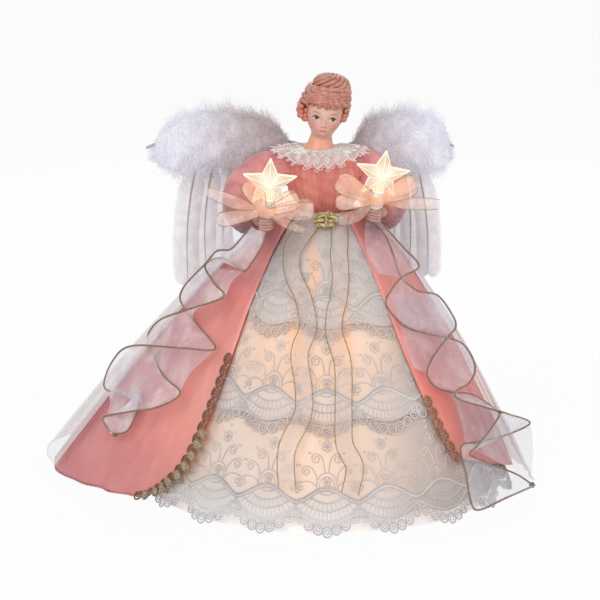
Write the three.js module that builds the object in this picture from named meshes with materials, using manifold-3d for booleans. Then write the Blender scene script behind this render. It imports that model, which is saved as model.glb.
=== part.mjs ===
// Lit angel tree topper with feather wings, a lace skirt and a star lamp in each hand.
// Millimetres, +Z up. The figure faces -Y, and left and right are the viewer's.

import * as THREE from 'three';
import { mergeVertices } from 'three/addons/utils/BufferGeometryUtils.js';
import Module from 'manifold-3d';

const wasm = await Module();
wasm.setup();

// Place of the trunk from the middle of the footprint: the train trails to the left
const trunkX = 34.5;
const trunkY = 9;

// Fits
const seatGap = 0.3;
const layerGap = 0.9;
const facetAllowance = 0.2;

// Skirt shape, shared by the carrier cone and every cloth layer
const waistHeight = 202;
const waistRadius = 14;
const hemRadiusFront = 150;
const hemRadiusBack = 122;
const skirtBow = 0.78;
const skirtBowLean = 0.1;
const layerSlope = Math.SQRT1_2;
const skirtLevels = [192, 172, 140, 100, 52];
const levelMargin = 10;

// Carrier cone
const coneWall = 1.6;
const coneFlangeWidth = 7;
const coneFlangeThickness = 1.6;
const coneBossRadius = 6;
const coneBossHeight = 9;
const conePlateThickness = 2;

// Underskirt
const underskirtThickness = 1;
const underskirtFolds = 8;
const underskirtFoldDepth = 3;
const underskirtHemHeight = 10;

// Lace tiers, hung one over another down the front
const laceThickness = 0.8;
const tierFolds = 10;
const tierFoldDepth = 2;
const motifWidth = 48;
const scallopDepth = 7;
const lowerTierHemHeight = 2.5;
const middleTierHemHeight = 62;
const upperTierHemHeight = 123;
const tierOverlap = 22;
const tierTuckDegrees = 5;

// Satin overskirt, open down the front and thrown out to the left
const satinThickness = 1.2;
const overskirtFolds = 9;
const overskirtFoldDepth = 6;
const overskirtHemHeight = 2;
const openLeftDegrees = 45.5;
const openLeftWaistDegrees = 22;
const openLeftHemDegrees = 20;
const openLeftNearestDrop = 0.68;
const openRightDegrees = 34;
const openRightHemDegrees = 16;
const flareReach = 68;
const flareDegrees = 100;
const flareSpreadDegrees = 24;
const flareBow = 0.63;

// Gimp braid along the overskirt's front edges
const gimpWidth = 9;
const gimpThickness = 1.2;
const gimpTopHeightLeft = 112;
const gimpTopHeightRight = 104;

// Organza train behind the overskirt
const organzaThickness = 0.8;
const trainRightDegrees = 78;
const trainLeftDegrees = 94;
const trainReach = 11;
const trainBow = 0.5;
const trainStandOff = 2.5;
const trainHemHeight = 3;

// Ribbon streamers: rise from the waist and distance to the side of each turn
const streamerWidth = 12;
const streamerRouteLeft = [[2, -8], [-30, -19], [-94, -20], [-120, -16], [-146, -28], [-170, -28]];
const streamerRouteRight = [[2, 8], [-30, 10], [-87, 7], [-106, 12], [-140, 12], [-156, 19], [-174, 16]];

// Waist rosette
const rosetteWidth = 18;
const rosetteHeight = 13;
const rosetteThickness = 5;
const rosetteDrop = 4;
const rosetteLean = Math.PI / 4;

// Moulded bust: rise from the waist, half width and half depth of its sections
const bustSections = [
  [-2, 11, 10],
  [6, 13.5, 11],
  [18, 18.5, 14],
  [30, 22.5, 15.5],
  [38, 24.5, 14],
  [43, 20, 12.5],
  [47, 11.5, 10],
  [50, 9, 9],
].map(([rise, halfWidth, halfDepth]) => [waistHeight + rise, halfWidth, halfDepth]);
const neckSocketRadius = 5;
const neckSocketDepth = 9;

// Bodice
const bodiceBottomRise = 8;
const bodiceTopDrop = 9;

// Head casting: height above the shoulders, half width, reach to the front and to the back
const headSections = [
  [0, 8.4, 8.4, 8.4],
  [6, 7.8, 7.6, 8.6],
  [11, 8, 8.6, 9],
  [13.5, 7, 14.5, 10],
  [17, 10.6, 17, 14],
  [22, 12.6, 17.6, 17],
  [28, 13.2, 17, 18],
  [36, 13, 16, 18],
  [42, 10, 12, 14],
];
const hairWidth = 41;
const hairDepth = 38;
const hairHeight = 35;
const hairMiddle = 32;
const hairSetBack = 4;
const bunWidth = 24;
const bunHeight = 15;
const bunMiddle = 45.2;
const bunSetBack = 3;
const curlWidth = 10;
const curlDepth = 16;
const curlHeight = 17;
const curlMiddle = 25;

// Lace collar
const collarSideReach = 34;
const collarFrontReach = 26;
const collarBackReach = 20;
const collarRise = 1;
const collarFrontDrop = 9;
const collarWaves = 12;
const collarWaveDepth = 1.2;
const collarFoldShare = 0.45;

// Arms: points of each arm from the shoulder to the wrist, outwards, forwards and up from the waist
const armRouteLeft = [
  [20, -4, 34], [45, -3, 33], [65, 0, 24], [72, 12, 13], [64, 31, 6], [51, 44, 4],
];
const armRouteRight = [
  [20, -4, 35], [37, -3, 34], [51, 0, 24], [56, 12, 14], [50, 31, 9], [41, 44, 9],
];
const sleeveRadii = [11, 14, 15, 13.5, 10.5, 8];
const sleeveBoreRadius = 3.4;
const armWireRadius = 1;
const wireSteps = 18;
const wristRadius = 4.2;
const fistRadius = 6.5;
const handReach = 12;

// Hand lamps, leaning forward
const lampLeanDegrees = 22;
const lampTiltLeftDegrees = 3;
const lampTiltRightDegrees = 9;
const lampSides = 8;
const stemRadius = 2.6;
const stemLength = 7;
const holderRadius = 4.2;
const holderLength = 14;
const bulbRadius = 2.7;
const bulbDepth = 10;
const bulbLength = 15;
const bulbFootChamfer = 0.5;
const bulbTipRadius = 1.75;
const bulbTipLength = 1.4;
const bulbShoulderLength = 4;
const starRadius = 20;
const starNotchRadius = 9;
const starHalfThickness = 6.5;
const starEdge = 0.7;
const starCrownShare = 0.08;
const starMiddle = 27;
const starNeckWall = 1.2;
const starCavityShoulder = 2;
const starCavityTipRadius = 2.1;
const starBulbClearance = 1;

// Ribbon bows at the hands: direction in degrees from the viewer's right, and length of each loop
const bowLoops = [[168, 27], [206, 24], [12, 24], [-30, 20]];
const bowLoopHeight = 11;
const bowRibbonWidth = 12;
const bowKnotRadius = 3.6;
const bowLoopSteps = 7;
const teardropSpread = 1.54;

// Organza mantles, twisted from each hand down the side of the skirt:
// direction in degrees from the front, drop from the waist, and distance from the overskirt
const mantleRouteLeft = [[-62, 26, 50], [-76, 67, 26], [-80, 106, 22], [-74, 158, 20]];
const mantleRouteRight = [[46, 42, 22], [55, 86, 16], [49, 124, 15], [60, 156, 17], [55, 181, 19]];
const mantleHalfTurnsLeft = 5;
const mantleHalfTurnsRight = 5;
const mantleHalfWidth = 17;
const mantleStartHalfWidth = 5;
const mantleStartDropLeft = 2.8;
const mantleStartDropRight = 1.1;
const mantleDepthShare = 0.42;
const mantleOpenShare = 0.25;
const mantleOutwardRise = 0.5;

// Wings on bent wires
const wingPivotX = 12;
const wingPlateWidth = 34;
const wingPlateHeight = 18;
const wingPlateThickness = 2.5;
const wingPlateRise = 33;
const wingBarrelRadius = 3.2;
const wingBarrelHeight = 14;
const wingWireRadius = 1.2;
const fluffHalfHeight = 27;
const fluffHalfDepth = 13;
const fluffFromShare = 0.26;
const fluffToShare = 0.985;
const fluffTipShare = 0.06;
const fluffFullness = 0.6;
const fluffStations = 9;
const fluffSides = 10;
const featherThickness = 1;

// Stem of each wing from its pivot, outwards, backwards and up
const stemRouteLeft = [[2, 0.5, 14], [26, 5, 20], [66, 8, 25], [100, 7, 21], [124, 6, 13]];
const stemRouteRight = [[2, 0.5, 14], [20, 5, 20], [48, 8, 25], [72, 7, 21], [86, 6, 14]];

// Long feathers of each wing: distance out at the root, distance out at the tip, length, half width
const feathersLeft = [[86, 96, 98, 13], [72, 82, 89, 13], [58, 66, 76, 12]];
const feathersRight = [[57, 68, 93, 13], [46, 54, 85, 12], [36, 41, 72, 11]];
const featherRootRise = 6;
const featherBack = 13;
const featherStep = 2.2;
const featherTipHalfWidth = 0.8;
const featherRootShare = 0.12;
const featherTipShare = 0.97;
const featherFullness = 0.6;
const featherCup = 0.6;
const featherRows = 7;

// Skirt lamps inside the cone, in two rows: directions in degrees from the front
const lowerLampHeight = 42;
const lowerLampDegrees = [-55, -5, 35, 105, -135];
const upperLampHeight = 124;
const upperLampDegrees = [-35, 25, 175];
const lampSeatGap = 0.6;
const skirtHolderLength = 11;
const skirtBulbLength = 12;
const wiringRadius = 0.9;
const wiringClearance = 0.6;
const wiringOrder = [5, 1, 2, 3, 4, 8, 7, 6];
const wiringRiseShare = 0.75;

// Colours
const satinPink = 0xe2807c;
const laceWhite = 0xf4f1ec;
const creamSatin = 0xfbe6d4;
const organzaWhite = 0xeee6ee;
const gimpBronze = 0x8a6a3c;
const roseGold = 0xa58a4c;
const skinPeach = 0xf3c3a6;
const plasticWhite = 0xf2f0ea;
const glassWarm = 0xfff0c8;
const featherWhite = 0xf6f5f7;
const wireGrey = 0x9a9a9e;
const wiringWhite = 0xd8d8d2;

const radians = Math.PI / 180;
const upward = new THREE.Vector3(0, 0, 1);
const counted = (count, make) => Array.from({ length: count }, (unused, index) => make(index));

// Closed solids from points

function closedGeometry(points, triangles) {
  let volume = 0;
  for (const [a, b, c] of triangles) {
    volume += points[a].dot(points[b].clone().cross(points[c]));
  }
  const facing = volume > 0 ? triangles : triangles.map(([a, b, c]) => [a, c, b]);
  const geometry = new THREE.BufferGeometry();
  const positions = points.flatMap((point) => point.toArray());
  geometry.setAttribute('position', new THREE.Float32BufferAttribute(positions, 3));
  geometry.setIndex(facing.flat());
  return geometry;
}

// A sheet with an outer and an inner face, as rows of points; one that closes on itself is a shell
function sheetSolid(outer, inner, closedAround = false) {
  const rows = outer.length;
  const columns = outer[0].length;
  const points = [...outer.flat(), ...inner.flat()];
  const far = rows * columns;
  const at = (row, column) => row * columns + (column % columns);
  const triangles = [];
  const quad = (a, b, c, d) => triangles.push([a, b, c], [a, c, d]);
  const spans = closedAround ? columns : columns - 1;
  for (let column = 0; column < spans; column++) {
    for (let row = 0; row < rows - 1; row++) {
      const a = at(row, column);
      const b = at(row, column + 1);
      const c = at(row + 1, column + 1);
      const d = at(row + 1, column);
      quad(a, b, c, d);
      quad(far + a, far + d, far + c, far + b);
    }
    const first = [at(0, column), at(0, column + 1)];
    const last = [at(rows - 1, column), at(rows - 1, column + 1)];
    quad(first[1], first[0], far + first[0], far + first[1]);
    quad(last[0], last[1], far + last[1], far + last[0]);
  }
  for (let row = 0; row < rows - 1 && !closedAround; row++) {
    const near = [at(row, 0), at(row + 1, 0)];
    const end = [at(row, columns - 1), at(row + 1, columns - 1)];
    quad(near[0], near[1], far + near[1], far + near[0]);
    quad(end[1], end[0], far + end[0], far + end[1]);
  }
  return closedGeometry(points, triangles);
}

// A solid through a row of rings, closed flat at both ends
function loftSolid(rings) {
  const count = rings[0].length;
  const points = rings.flat();
  const last = rings.length - 1;
  const at = (row, column) => row * count + (column % count);
  const middle = (ring) => ring.reduce((sum, p) => sum.add(p), new THREE.Vector3()).divideScalar(count);
  const startMiddle = points.push(middle(rings[0])) - 1;
  const endMiddle = points.push(middle(rings[last])) - 1;
  const triangles = [];
  for (let column = 0; column < count; column++) {
    for (let row = 0; row < last; row++) {
      const a = at(row, column);
      const c = at(row + 1, column + 1);
      triangles.push([a, at(row, column + 1), c], [a, c, at(row + 1, column)]);
    }
    triangles.push([startMiddle, at(0, column + 1), at(0, column)]);
    triangles.push([endMiddle, at(last, column), at(last, column + 1)]);
  }
  return closedGeometry(points, triangles);
}

// Joins and cuts

function solidOf(geometry) {
  const bare = geometry.clone();
  bare.deleteAttribute('normal');
  bare.deleteAttribute('uv');
  const merged = mergeVertices(bare, 1e-4);
  const vertProperties = new Float32Array(merged.attributes.position.array);
  const triVerts = new Uint32Array(merged.index.array);
  return new wasm.Manifold(new wasm.Mesh({ numProp: 3, vertProperties, triVerts }));
}

function geometryOf(solid) {
  const mesh = solid.getMesh();
  const geometry = new THREE.BufferGeometry();
  geometry.setAttribute('position', new THREE.BufferAttribute(mesh.vertProperties, 3));
  geometry.setIndex(new THREE.BufferAttribute(mesh.triVerts, 1));
  return geometry;
}

function cut(geometry, ...tools) {
  return geometryOf(tools.reduce((solid, tool) => solid.subtract(solidOf(tool)), solidOf(geometry)));
}

function joined(...geometries) {
  return geometryOf(geometries.map(solidOf).reduce((solid, other) => solid.add(other)));
}

// Round pieces

function turned(profile, sideCount) {
  const points = profile.map(([radius, height]) => new THREE.Vector2(radius, height));
  return new THREE.LatheGeometry(points, sideCount).rotateX(Math.PI / 2);
}

function rod(radius, from, to, sideCount = 12) {
  return turned([[0, from], [radius, from], [radius, to], [0, to]], sideCount);
}

function ellipsoid(width, depth, height, across = 16, down = 10) {
  const geometry = new THREE.SphereGeometry(0.5, across, down).rotateX(Math.PI / 2);
  return geometry.scale(width, depth, height);
}

function wireAlong(curve, radius, steps, sideCount) {
  const corners = counted(sideCount, (corner) => {
    const turn = (2 * Math.PI * corner) / sideCount;
    return new THREE.Vector2(radius * Math.cos(turn), radius * Math.sin(turn));
  });
  const section = new THREE.Shape(corners);
  return new THREE.ExtrudeGeometry(section, { steps, extrudePath: curve, bevelEnabled: false });
}

// Rings square to a curve, with a width and a depth at each station
function ringsAlong(curve, stations, sideCount, widthAt, depthAt = widthAt) {
  const frames = curve.computeFrenetFrames(stations, false);
  return counted(stations + 1, (station) => {
    const share = station / stations;
    const middle = curve.getPointAt(share);
    return counted(sideCount, (side) => {
      const turn = (2 * Math.PI * side) / sideCount;
      return middle.clone()
        .addScaledVector(frames.normals[station], widthAt(share) * Math.cos(turn))
        .addScaledVector(frames.binormals[station], depthAt(share) * Math.sin(turn));
    });
  });
}

function curveThrough(points) {
  return new THREE.CatmullRomCurve3(points, false, 'centripetal');
}

// A value read between the entries of an evenly spaced list
function between(values, share) {
  const place = Math.min(share, 1) * (values.length - 1);
  const index = Math.min(Math.floor(place), values.length - 2);
  return THREE.MathUtils.lerp(values[index], values[index + 1], place - index);
}

const figure = new THREE.Group();
figure.position.set(trunkX, trunkY, 0);

function addPiece(parent, name, geometry, color, roughness, metalness = 0) {
  const mesh = new THREE.Mesh(geometry, new THREE.MeshStandardMaterial({ color, roughness, metalness }));
  mesh.name = name;
  parent.add(mesh);
  return mesh;
}

// Skirt surface: direction from the front, drop from the waist to the hem, and lift off the surface

function hemRadius(angle) {
  return hemRadiusBack + (hemRadiusFront - hemRadiusBack) * (1 + Math.cos(angle)) / 2;
}

function flareShare(angle) {
  const turn = Math.atan2(Math.sin(angle + flareDegrees * radians), Math.cos(angle + flareDegrees * radians));
  return Math.exp(-((turn / (flareSpreadDegrees * radians)) ** 2));
}

function skirtPoint(angle, height, lift, wave = () => 0, thickness = 0) {
  const drop = Math.max(0, 1 - (height - lift * layerSlope) / waistHeight);
  const bow = skirtBow - skirtBowLean * Math.sin(angle);
  const round = waistRadius + (hemRadius(angle) - waistRadius) * drop ** bow;
  const radius = round + lift * layerSlope + wave(angle, drop) + thickness / layerSlope;
  return new THREE.Vector3(radius * Math.sin(angle), -radius * Math.cos(angle), height);
}

const waistTop = (lift) => waistHeight + lift * layerSlope;

const foldShare = (folds, angle) => (1 + Math.cos(folds * angle)) / 2;
const underskirtWave = (angle, drop) => -underskirtFoldDepth * drop * (1 - foldShare(underskirtFolds, angle));
const tierWave = (angle, drop) => tierFoldDepth * drop * foldShare(tierFolds, angle);
const overTiers = (angle, drop) => tierFoldDepth * drop;
const overskirtWave = (angle, drop) => overTiers(angle, drop)
  + overskirtFoldDepth * drop * foldShare(overskirtFolds, angle)
  + flareReach * flareShare(angle) * drop ** flareBow;
const trainWave = (angle, drop) => overskirtWave(angle, drop)
  + trainStandOff * drop + trainReach * flareShare(angle) * drop ** trainBow;

// Lifts of the layers, from the cone outwards
const coneLift = -(underskirtFoldDepth * layerSlope + layerGap);
const lowerTierLift = underskirtThickness + layerGap;
const middleTierLift = lowerTierLift + laceThickness + layerGap;
const upperTierLift = middleTierLift + laceThickness + layerGap;
const overskirtLift = upperTierLift + laceThickness + layerGap;
const gimpLift = overskirtLift + satinThickness + layerGap;
const trainLift = overskirtLift + satinThickness + layerGap;

// A skirt layer between two edges: each edge gives an angle for a height
function skirtSheet({ lift, thickness, top, hem, left, right, wave, columns, closedAround = false }) {
  const lowest = hem(0);
  const levels = skirtLevels.filter((level) => level < top - levelMargin && level > lowest + levelMargin);
  const heights = [top, ...levels, lowest];
  const count = closedAround ? columns : columns + 1;
  const face = (grow) => heights.map((height) => counted(count, (column) => {
    const angle = THREE.MathUtils.lerp(left(height), right(height), column / columns);
    return skirtPoint(angle, height === lowest ? hem(angle) : height, lift, wave, grow);
  }));
  return sheetSolid(face(thickness), face(0), closedAround);
}

const dropAt = (height) => 1 - height / waistHeight;
const overskirtLeftEdge = (height) => {
  const drop = dropAt(height);
  const towardWaist = Math.max(0, 1 - drop / openLeftNearestDrop) ** 2;
  const towardHem = Math.max(0, (drop - openLeftNearestDrop) / (1 - openLeftNearestDrop)) ** 3;
  return -(openLeftDegrees + openLeftWaistDegrees * towardWaist + openLeftHemDegrees * towardHem) * radians;
};
const overskirtRightEdge = (height) => (
  (openRightDegrees + openRightHemDegrees * dropAt(height) ** 3) * radians);
const fullTurn = { left: () => -Math.PI, right: () => Math.PI, closedAround: true };

// Carrier cone: a hollow moulding with a foot flange, a closed top and a boss for the bust
const coneTop = waistTop(coneLift);

function coneRing(height, inset, columns = 32) {
  return counted(columns, (column) => {
    const point = skirtPoint((2 * Math.PI * column) / columns, height, coneLift);
    const flat = Math.hypot(point.x, point.y);
    point.x *= (flat - inset) / flat;
    point.y *= (flat - inset) / flat;
    return point;
  });
}

function discRing(radius, height, columns = 32) {
  return counted(columns, (column) => {
    const angle = (2 * Math.PI * column) / columns;
    return new THREE.Vector3(radius * Math.sin(angle), -radius * Math.cos(angle), height);
  });
}

function skirtCone() {
  const plateUnder = coneTop - conePlateThickness;
  const coneLevels = skirtLevels.filter((level) => level < plateUnder - levelMargin).reverse();
  const inner = [
    coneRing(0, coneWall + coneFlangeWidth),
    coneRing(coneFlangeThickness, coneWall + coneFlangeWidth),
    coneRing(coneFlangeThickness, coneWall),
    ...coneLevels.map((level) => coneRing(level, coneWall)),
    coneRing(plateUnder, coneWall),
  ];
  const outer = [
    coneRing(0, 0),
    ...coneLevels.map((level) => coneRing(level, 0)),
    coneRing(plateUnder, 0),
    coneRing(coneTop, 0),
    discRing(coneBossRadius, coneTop),
    discRing(coneBossRadius, coneTop + coneBossHeight),
  ];
  return loftSolid([...inner.reverse(), ...outer]);
}

const skirtConeMesh = addPiece(figure, 'skirt_cone', skirtCone(), plasticWhite, 0.5);

// Cloth layers of the skirt
addPiece(figure, 'underskirt', skirtSheet({
  lift: 0, thickness: underskirtThickness, top: waistTop(0), hem: () => underskirtHemHeight,
  wave: underskirtWave, columns: 48, ...fullTurn,
}), creamSatin, 0.55);

function laceTier(lift, top, hemHeight, columns) {
  const reach = Math.hypot(...skirtPoint(0, hemHeight, lift).toArray().slice(0, 2));
  const motifs = (angle) => (angle * reach) / motifWidth;
  return skirtSheet({
    lift, thickness: laceThickness, top, columns, wave: tierWave,
    hem: (angle) => hemHeight + scallopDepth * Math.abs(Math.sin(Math.PI * motifs(angle))) ** 2,
    left: (height) => overskirtLeftEdge(height) - tierTuckDegrees * radians,
    right: (height) => overskirtRightEdge(height) + tierTuckDegrees * radians,
  });
}

const lowerTierTop = middleTierHemHeight + tierOverlap;
const middleTierTop = upperTierHemHeight + tierOverlap;
const upperTierTop = waistTop(upperTierLift);
const lowerTier = laceTier(lowerTierLift, lowerTierTop, lowerTierHemHeight, 40);
const middleTier = laceTier(middleTierLift, middleTierTop, middleTierHemHeight, 30);
const upperTier = laceTier(upperTierLift, upperTierTop, upperTierHemHeight, 22);
addPiece(figure, 'lace_tier_lower', lowerTier, laceWhite, 0.9);
addPiece(figure, 'lace_tier_middle', middleTier, laceWhite, 0.9);
addPiece(figure, 'lace_tier_upper', upperTier, laceWhite, 0.9);

addPiece(figure, 'overskirt', skirtSheet({
  lift: overskirtLift, thickness: satinThickness, top: waistTop(overskirtLift),
  hem: () => overskirtHemHeight, wave: overskirtWave, columns: 48,
  left: overskirtRightEdge, right: (height) => overskirtLeftEdge(height) + 2 * Math.PI,
}), satinPink, 0.4);

// A strip along an edge of the overskirt, running away from the opening
function gimpBraid(edge, away, top) {
  const angleAcross = (height) => {
    const point = skirtPoint(edge(height), height, gimpLift, overskirtWave);
    return (away * gimpWidth) / Math.hypot(point.x, point.y);
  };
  return skirtSheet({
    lift: gimpLift, thickness: gimpThickness, top, hem: () => overskirtHemHeight,
    wave: overskirtWave, columns: 3, left: edge, right: (height) => edge(height) + angleAcross(height),
  });
}

const leftGimp = gimpBraid(overskirtLeftEdge, -1, gimpTopHeightLeft);
const rightGimp = gimpBraid(overskirtRightEdge, 1, gimpTopHeightRight);
addPiece(figure, 'gimp_braid_left', leftGimp, gimpBronze, 0.6, 0.3);
addPiece(figure, 'gimp_braid_right', rightGimp, gimpBronze, 0.6, 0.3);

addPiece(figure, 'organza_train', skirtSheet({
  lift: trainLift, thickness: organzaThickness, top: waistTop(trainLift), hem: () => trainHemHeight,
  wave: trainWave, columns: 34,
  left: () => trainRightDegrees * radians, right: () => (360 - trainLeftDegrees) * radians,
}), organzaWhite, 0.5);

// Ribbon streamers over the lace
function ribbonStreamer(route) {
  const lift = overskirtLift;
  const steps = 16;
  const path = curveThrough(route.map(([rise, side]) => new THREE.Vector3(side, 0, waistHeight + rise)));
  const face = (grow) => counted(steps + 1, (step) => {
    const place = path.getPointAt(step / steps);
    return [-1, 1].map((edge) => {
      const middle = skirtPoint(0, place.z, lift, overTiers);
      const angle = (place.x + edge * streamerWidth / 2) / Math.abs(middle.y);
      return skirtPoint(angle, place.z, lift, overTiers, grow);
    });
  });
  return sheetSolid(face(organzaThickness), face(0));
}

addPiece(figure, 'ribbon_streamer_left', ribbonStreamer(streamerRouteLeft), organzaWhite, 0.5);
addPiece(figure, 'ribbon_streamer_right', ribbonStreamer(streamerRouteRight), organzaWhite, 0.5);

// Waist rosette on the streamers' upper ends
const rosette = addPiece(figure, 'waist_rosette',
  ellipsoid(rosetteWidth, rosetteThickness, rosetteHeight, 14, 6), roseGold, 0.6, 0.3);
const rosetteHeightUp = waistTop(overskirtLift) - rosetteDrop;
rosette.position.copy(skirtPoint(0, rosetteHeightUp, overskirtLift, overTiers, organzaThickness));
rosette.rotation.x = -rosetteLean;
rosette.translateY(-rosetteThickness / 2 - seatGap);

// Bust and bodice

function sectionRing(halfWidth, front, back, height, columns = 16) {
  return counted(columns, (column) => {
    const angle = (2 * Math.PI * column) / columns;
    const depth = Math.cos(angle) > 0 ? front : back;
    return new THREE.Vector3(halfWidth * Math.sin(angle), -depth * Math.cos(angle), height);
  });
}

function bustSize(height) {
  const above = Math.max(1, bustSections.findIndex(([level]) => level >= height));
  const [lowLevel, lowWidth, lowDepth] = bustSections[above - 1];
  const [highLevel, highWidth, highDepth] = bustSections[above];
  const share = (height - lowLevel) / (highLevel - lowLevel);
  return [THREE.MathUtils.lerp(lowWidth, highWidth, share), THREE.MathUtils.lerp(lowDepth, highDepth, share)];
}

const shoulderTop = bustSections[bustSections.length - 1][0];
const bustBottom = bustSections[0][0];
const bodiceOuter = layerGap + satinThickness;

function bodiceFace(grow, bottom = waistHeight + bodiceBottomRise, top = shoulderTop - bodiceTopDrop) {
  const levels = bustSections.map(([level]) => level).filter((level) => level > bottom && level < top);
  return [bottom, ...levels, top].map((height) => {
    const [halfWidth, halfDepth] = bustSize(height);
    return sectionRing(halfWidth + grow, halfDepth + grow, halfDepth + grow, height);
  });
}

// Arms, hands and hand lamps

const armSides = [
  { side: 'left', sign: -1, route: armRouteLeft, tilt: lampTiltLeftDegrees },
  { side: 'right', sign: 1, route: armRouteRight, tilt: lampTiltRightDegrees },
].map((arm) => {
  const points = arm.route.map(([out, forward, up]) => (
    new THREE.Vector3(arm.sign * out, -forward, waistHeight + up)));
  const curve = curveThrough(points);
  const wrist = points[points.length - 1];
  const reach = curve.getTangentAt(1);
  const fist = wrist.clone().addScaledVector(reach, handReach);
  const wire = curveThrough([...points, wrist.clone().addScaledVector(reach, handReach / 3)]);
  return { ...arm, curve, wrist, reach, fist, wire };
});

const wireBoreRadius = armWireRadius + seatGap + facetAllowance;
const wireBores = armSides.map(({ wire }) => wireAlong(wire, wireBoreRadius, wireSteps, 8));
const bodiceClearance = loftSolid(bodiceFace(bodiceOuter + seatGap, bustBottom, shoulderTop - layerGap));

function bustForm() {
  const body = loftSolid(bustSections.map(([height, halfWidth, halfDepth]) => (
    sectionRing(halfWidth, halfDepth, halfDepth, height))));
  const neckSocket = rod(neckSocketRadius, shoulderTop - neckSocketDepth, shoulderTop + 1, 16);
  const bossSocket = rod(coneBossRadius + seatGap, bustBottom - 1, coneTop + coneBossHeight + seatGap, 16);
  return cut(body, neckSocket, bossSocket, ...wireBores);
}

addPiece(figure, 'bust_form', bustForm(), plasticWhite, 0.5);

const bodice = sheetSolid(bodiceFace(bodiceOuter), bodiceFace(layerGap), true);
addPiece(figure, 'bodice', cut(bodice, ...wireBores), satinPink, 0.4);

// Head, hair and neck plug in one casting
function headCasting() {
  const base = shoulderTop + seatGap;
  const face = loftSolid(headSections.map(([rise, halfWidth, front, back]) => (
    sectionRing(halfWidth, front, back, base + rise, 16))));
  const plug = rod(neckSocketRadius - seatGap, shoulderTop - neckSocketDepth + seatGap, base + 1);
  const hair = ellipsoid(hairWidth, hairDepth, hairHeight, 12, 8);
  hair.translate(0, hairSetBack, base + hairMiddle);
  const bun = ellipsoid(bunWidth, bunWidth, bunHeight, 10, 6).translate(0, bunSetBack, base + bunMiddle);
  const curls = [-1, 1].map((sign) => ellipsoid(curlWidth, curlDepth, curlHeight, 8, 6)
    .translate(sign * (hairWidth - curlWidth) / 2, 0, base + curlMiddle));
  const trimmedHair = cut(hair, rod(hairWidth, base, base + curlMiddle - curlHeight / 2));
  return joined(face, plug, trimmedHair, bun, ...curls);
}

addPiece(figure, 'head', headCasting(), skinPeach, 0.35);

// Lace collar round the neck, lower at the front
function laceCollar() {
  const columns = 48;
  const neckReach = headSections[0][1] + layerGap;
  const shares = [0, collarFoldShare, 1];
  const face = (rise) => shares.map((share) => counted(columns, (column) => {
    const angle = (2 * Math.PI * column) / columns;
    const forward = Math.cos(angle);
    const depth = forward > 0 ? collarFrontReach : collarBackReach;
    const across = THREE.MathUtils.lerp(neckReach, collarSideReach, share) * Math.sin(angle);
    const along = THREE.MathUtils.lerp(neckReach, depth, share) * forward;
    const drop = collarFrontDrop * share ** 2 * Math.max(0, forward) ** 2;
    const wave = collarWaveDepth * share * (1 + Math.cos(collarWaves * angle)) / 2;
    return new THREE.Vector3(across, -along, shoulderTop + collarRise + wave + rise - drop);
  }));
  return sheetSolid(face(laceThickness), face(0), true);
}

addPiece(figure, 'lace_collar', laceCollar(), laceWhite, 0.9);

// Lamp pieces stand on their own +Z, with the holder's foot at zero

const holderBore = bulbRadius + 2 * seatGap;

function lampHolder(length) {
  const floor = length - bulbDepth;
  return turned([[0, 0], [holderRadius, 0], [holderRadius, length], [holderBore, length],
    [holderBore, floor], [0, floor]], lampSides);
}

function lampBulb(holderEnd, glassLength) {
  const foot = holderEnd - bulbDepth + seatGap;
  const tip = holderEnd + glassLength;
  return turned([[0, foot], [bulbRadius - bulbFootChamfer, foot], [bulbRadius, foot + 2 * bulbFootChamfer],
    [bulbRadius, tip - bulbShoulderLength], [bulbTipRadius, tip - bulbTipLength], [0, tip]], lampSides);
}

// Hollow star with a neck that seats on the holder's rim
function starCover() {
  const outline = counted(10, (corner) => {
    const radius = corner % 2 ? starNotchRadius : starRadius;
    const angle = (Math.PI * corner) / 5;
    return [radius * Math.sin(angle), starMiddle + radius * Math.cos(angle)];
  });
  const face = (depth) => outline.map(([x, z]) => new THREE.Vector3(x, depth, z));
  const crown = (depth, edgeDepth) => face(edgeDepth).map((corner) => (
    new THREE.Vector3(0, depth, starMiddle).lerp(corner, starCrownShare)));
  const body = mergeVertices(loftSolid([
    crown(-starHalfThickness, -starEdge), face(-starEdge), face(starEdge), crown(starHalfThickness, starEdge),
  ]));
  const cavityRadius = bulbRadius + seatGap;
  const neckFoot = holderLength + seatGap;
  const neck = rod(cavityRadius + starNeckWall, neckFoot, starMiddle);
  const cavityFoot = neckFoot - starBulbClearance;
  const cavityTop = holderLength + bulbLength + starBulbClearance;
  const cavity = turned([[0, cavityFoot], [cavityRadius, cavityFoot],
    [cavityRadius, cavityTop - starCavityShoulder], [starCavityTipRadius, cavityTop], [0, cavityTop]], 12);
  return cut(joined(body, neck), cavity);
}

// Ribbon bow: teardrop loops round a knot
function handBow(sign) {
  const loops = bowLoops.map(([degrees, length]) => {
    const direction = new THREE.Vector3(-sign * Math.cos(degrees * radians), 0, Math.sin(degrees * radians));
    const across = new THREE.Vector3(-direction.z, 0, direction.x);
    const face = (grow) => [-0.5, 0.5].map((edge) => counted(bowLoopSteps, (step) => {
      const turn = (2 * Math.PI * step) / bowLoopSteps;
      const along = (length / 2) * (1 - Math.cos(turn)) + grow * -Math.cos(turn);
      const teardrop = Math.sin(turn) * Math.sin(turn / 2) / teardropSpread;
      const swell = teardrop * bowLoopHeight + grow * Math.sin(turn);
      return direction.clone().multiplyScalar(along).addScaledVector(across, swell)
        .add(new THREE.Vector3(0, edge * bowRibbonWidth, 0));
    }));
    return sheetSolid(face(organzaThickness), face(0), true);
  });
  return joined(ellipsoid(2 * bowKnotRadius, 2 * bowKnotRadius, 2 * bowKnotRadius, 8, 6), ...loops);
}

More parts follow.
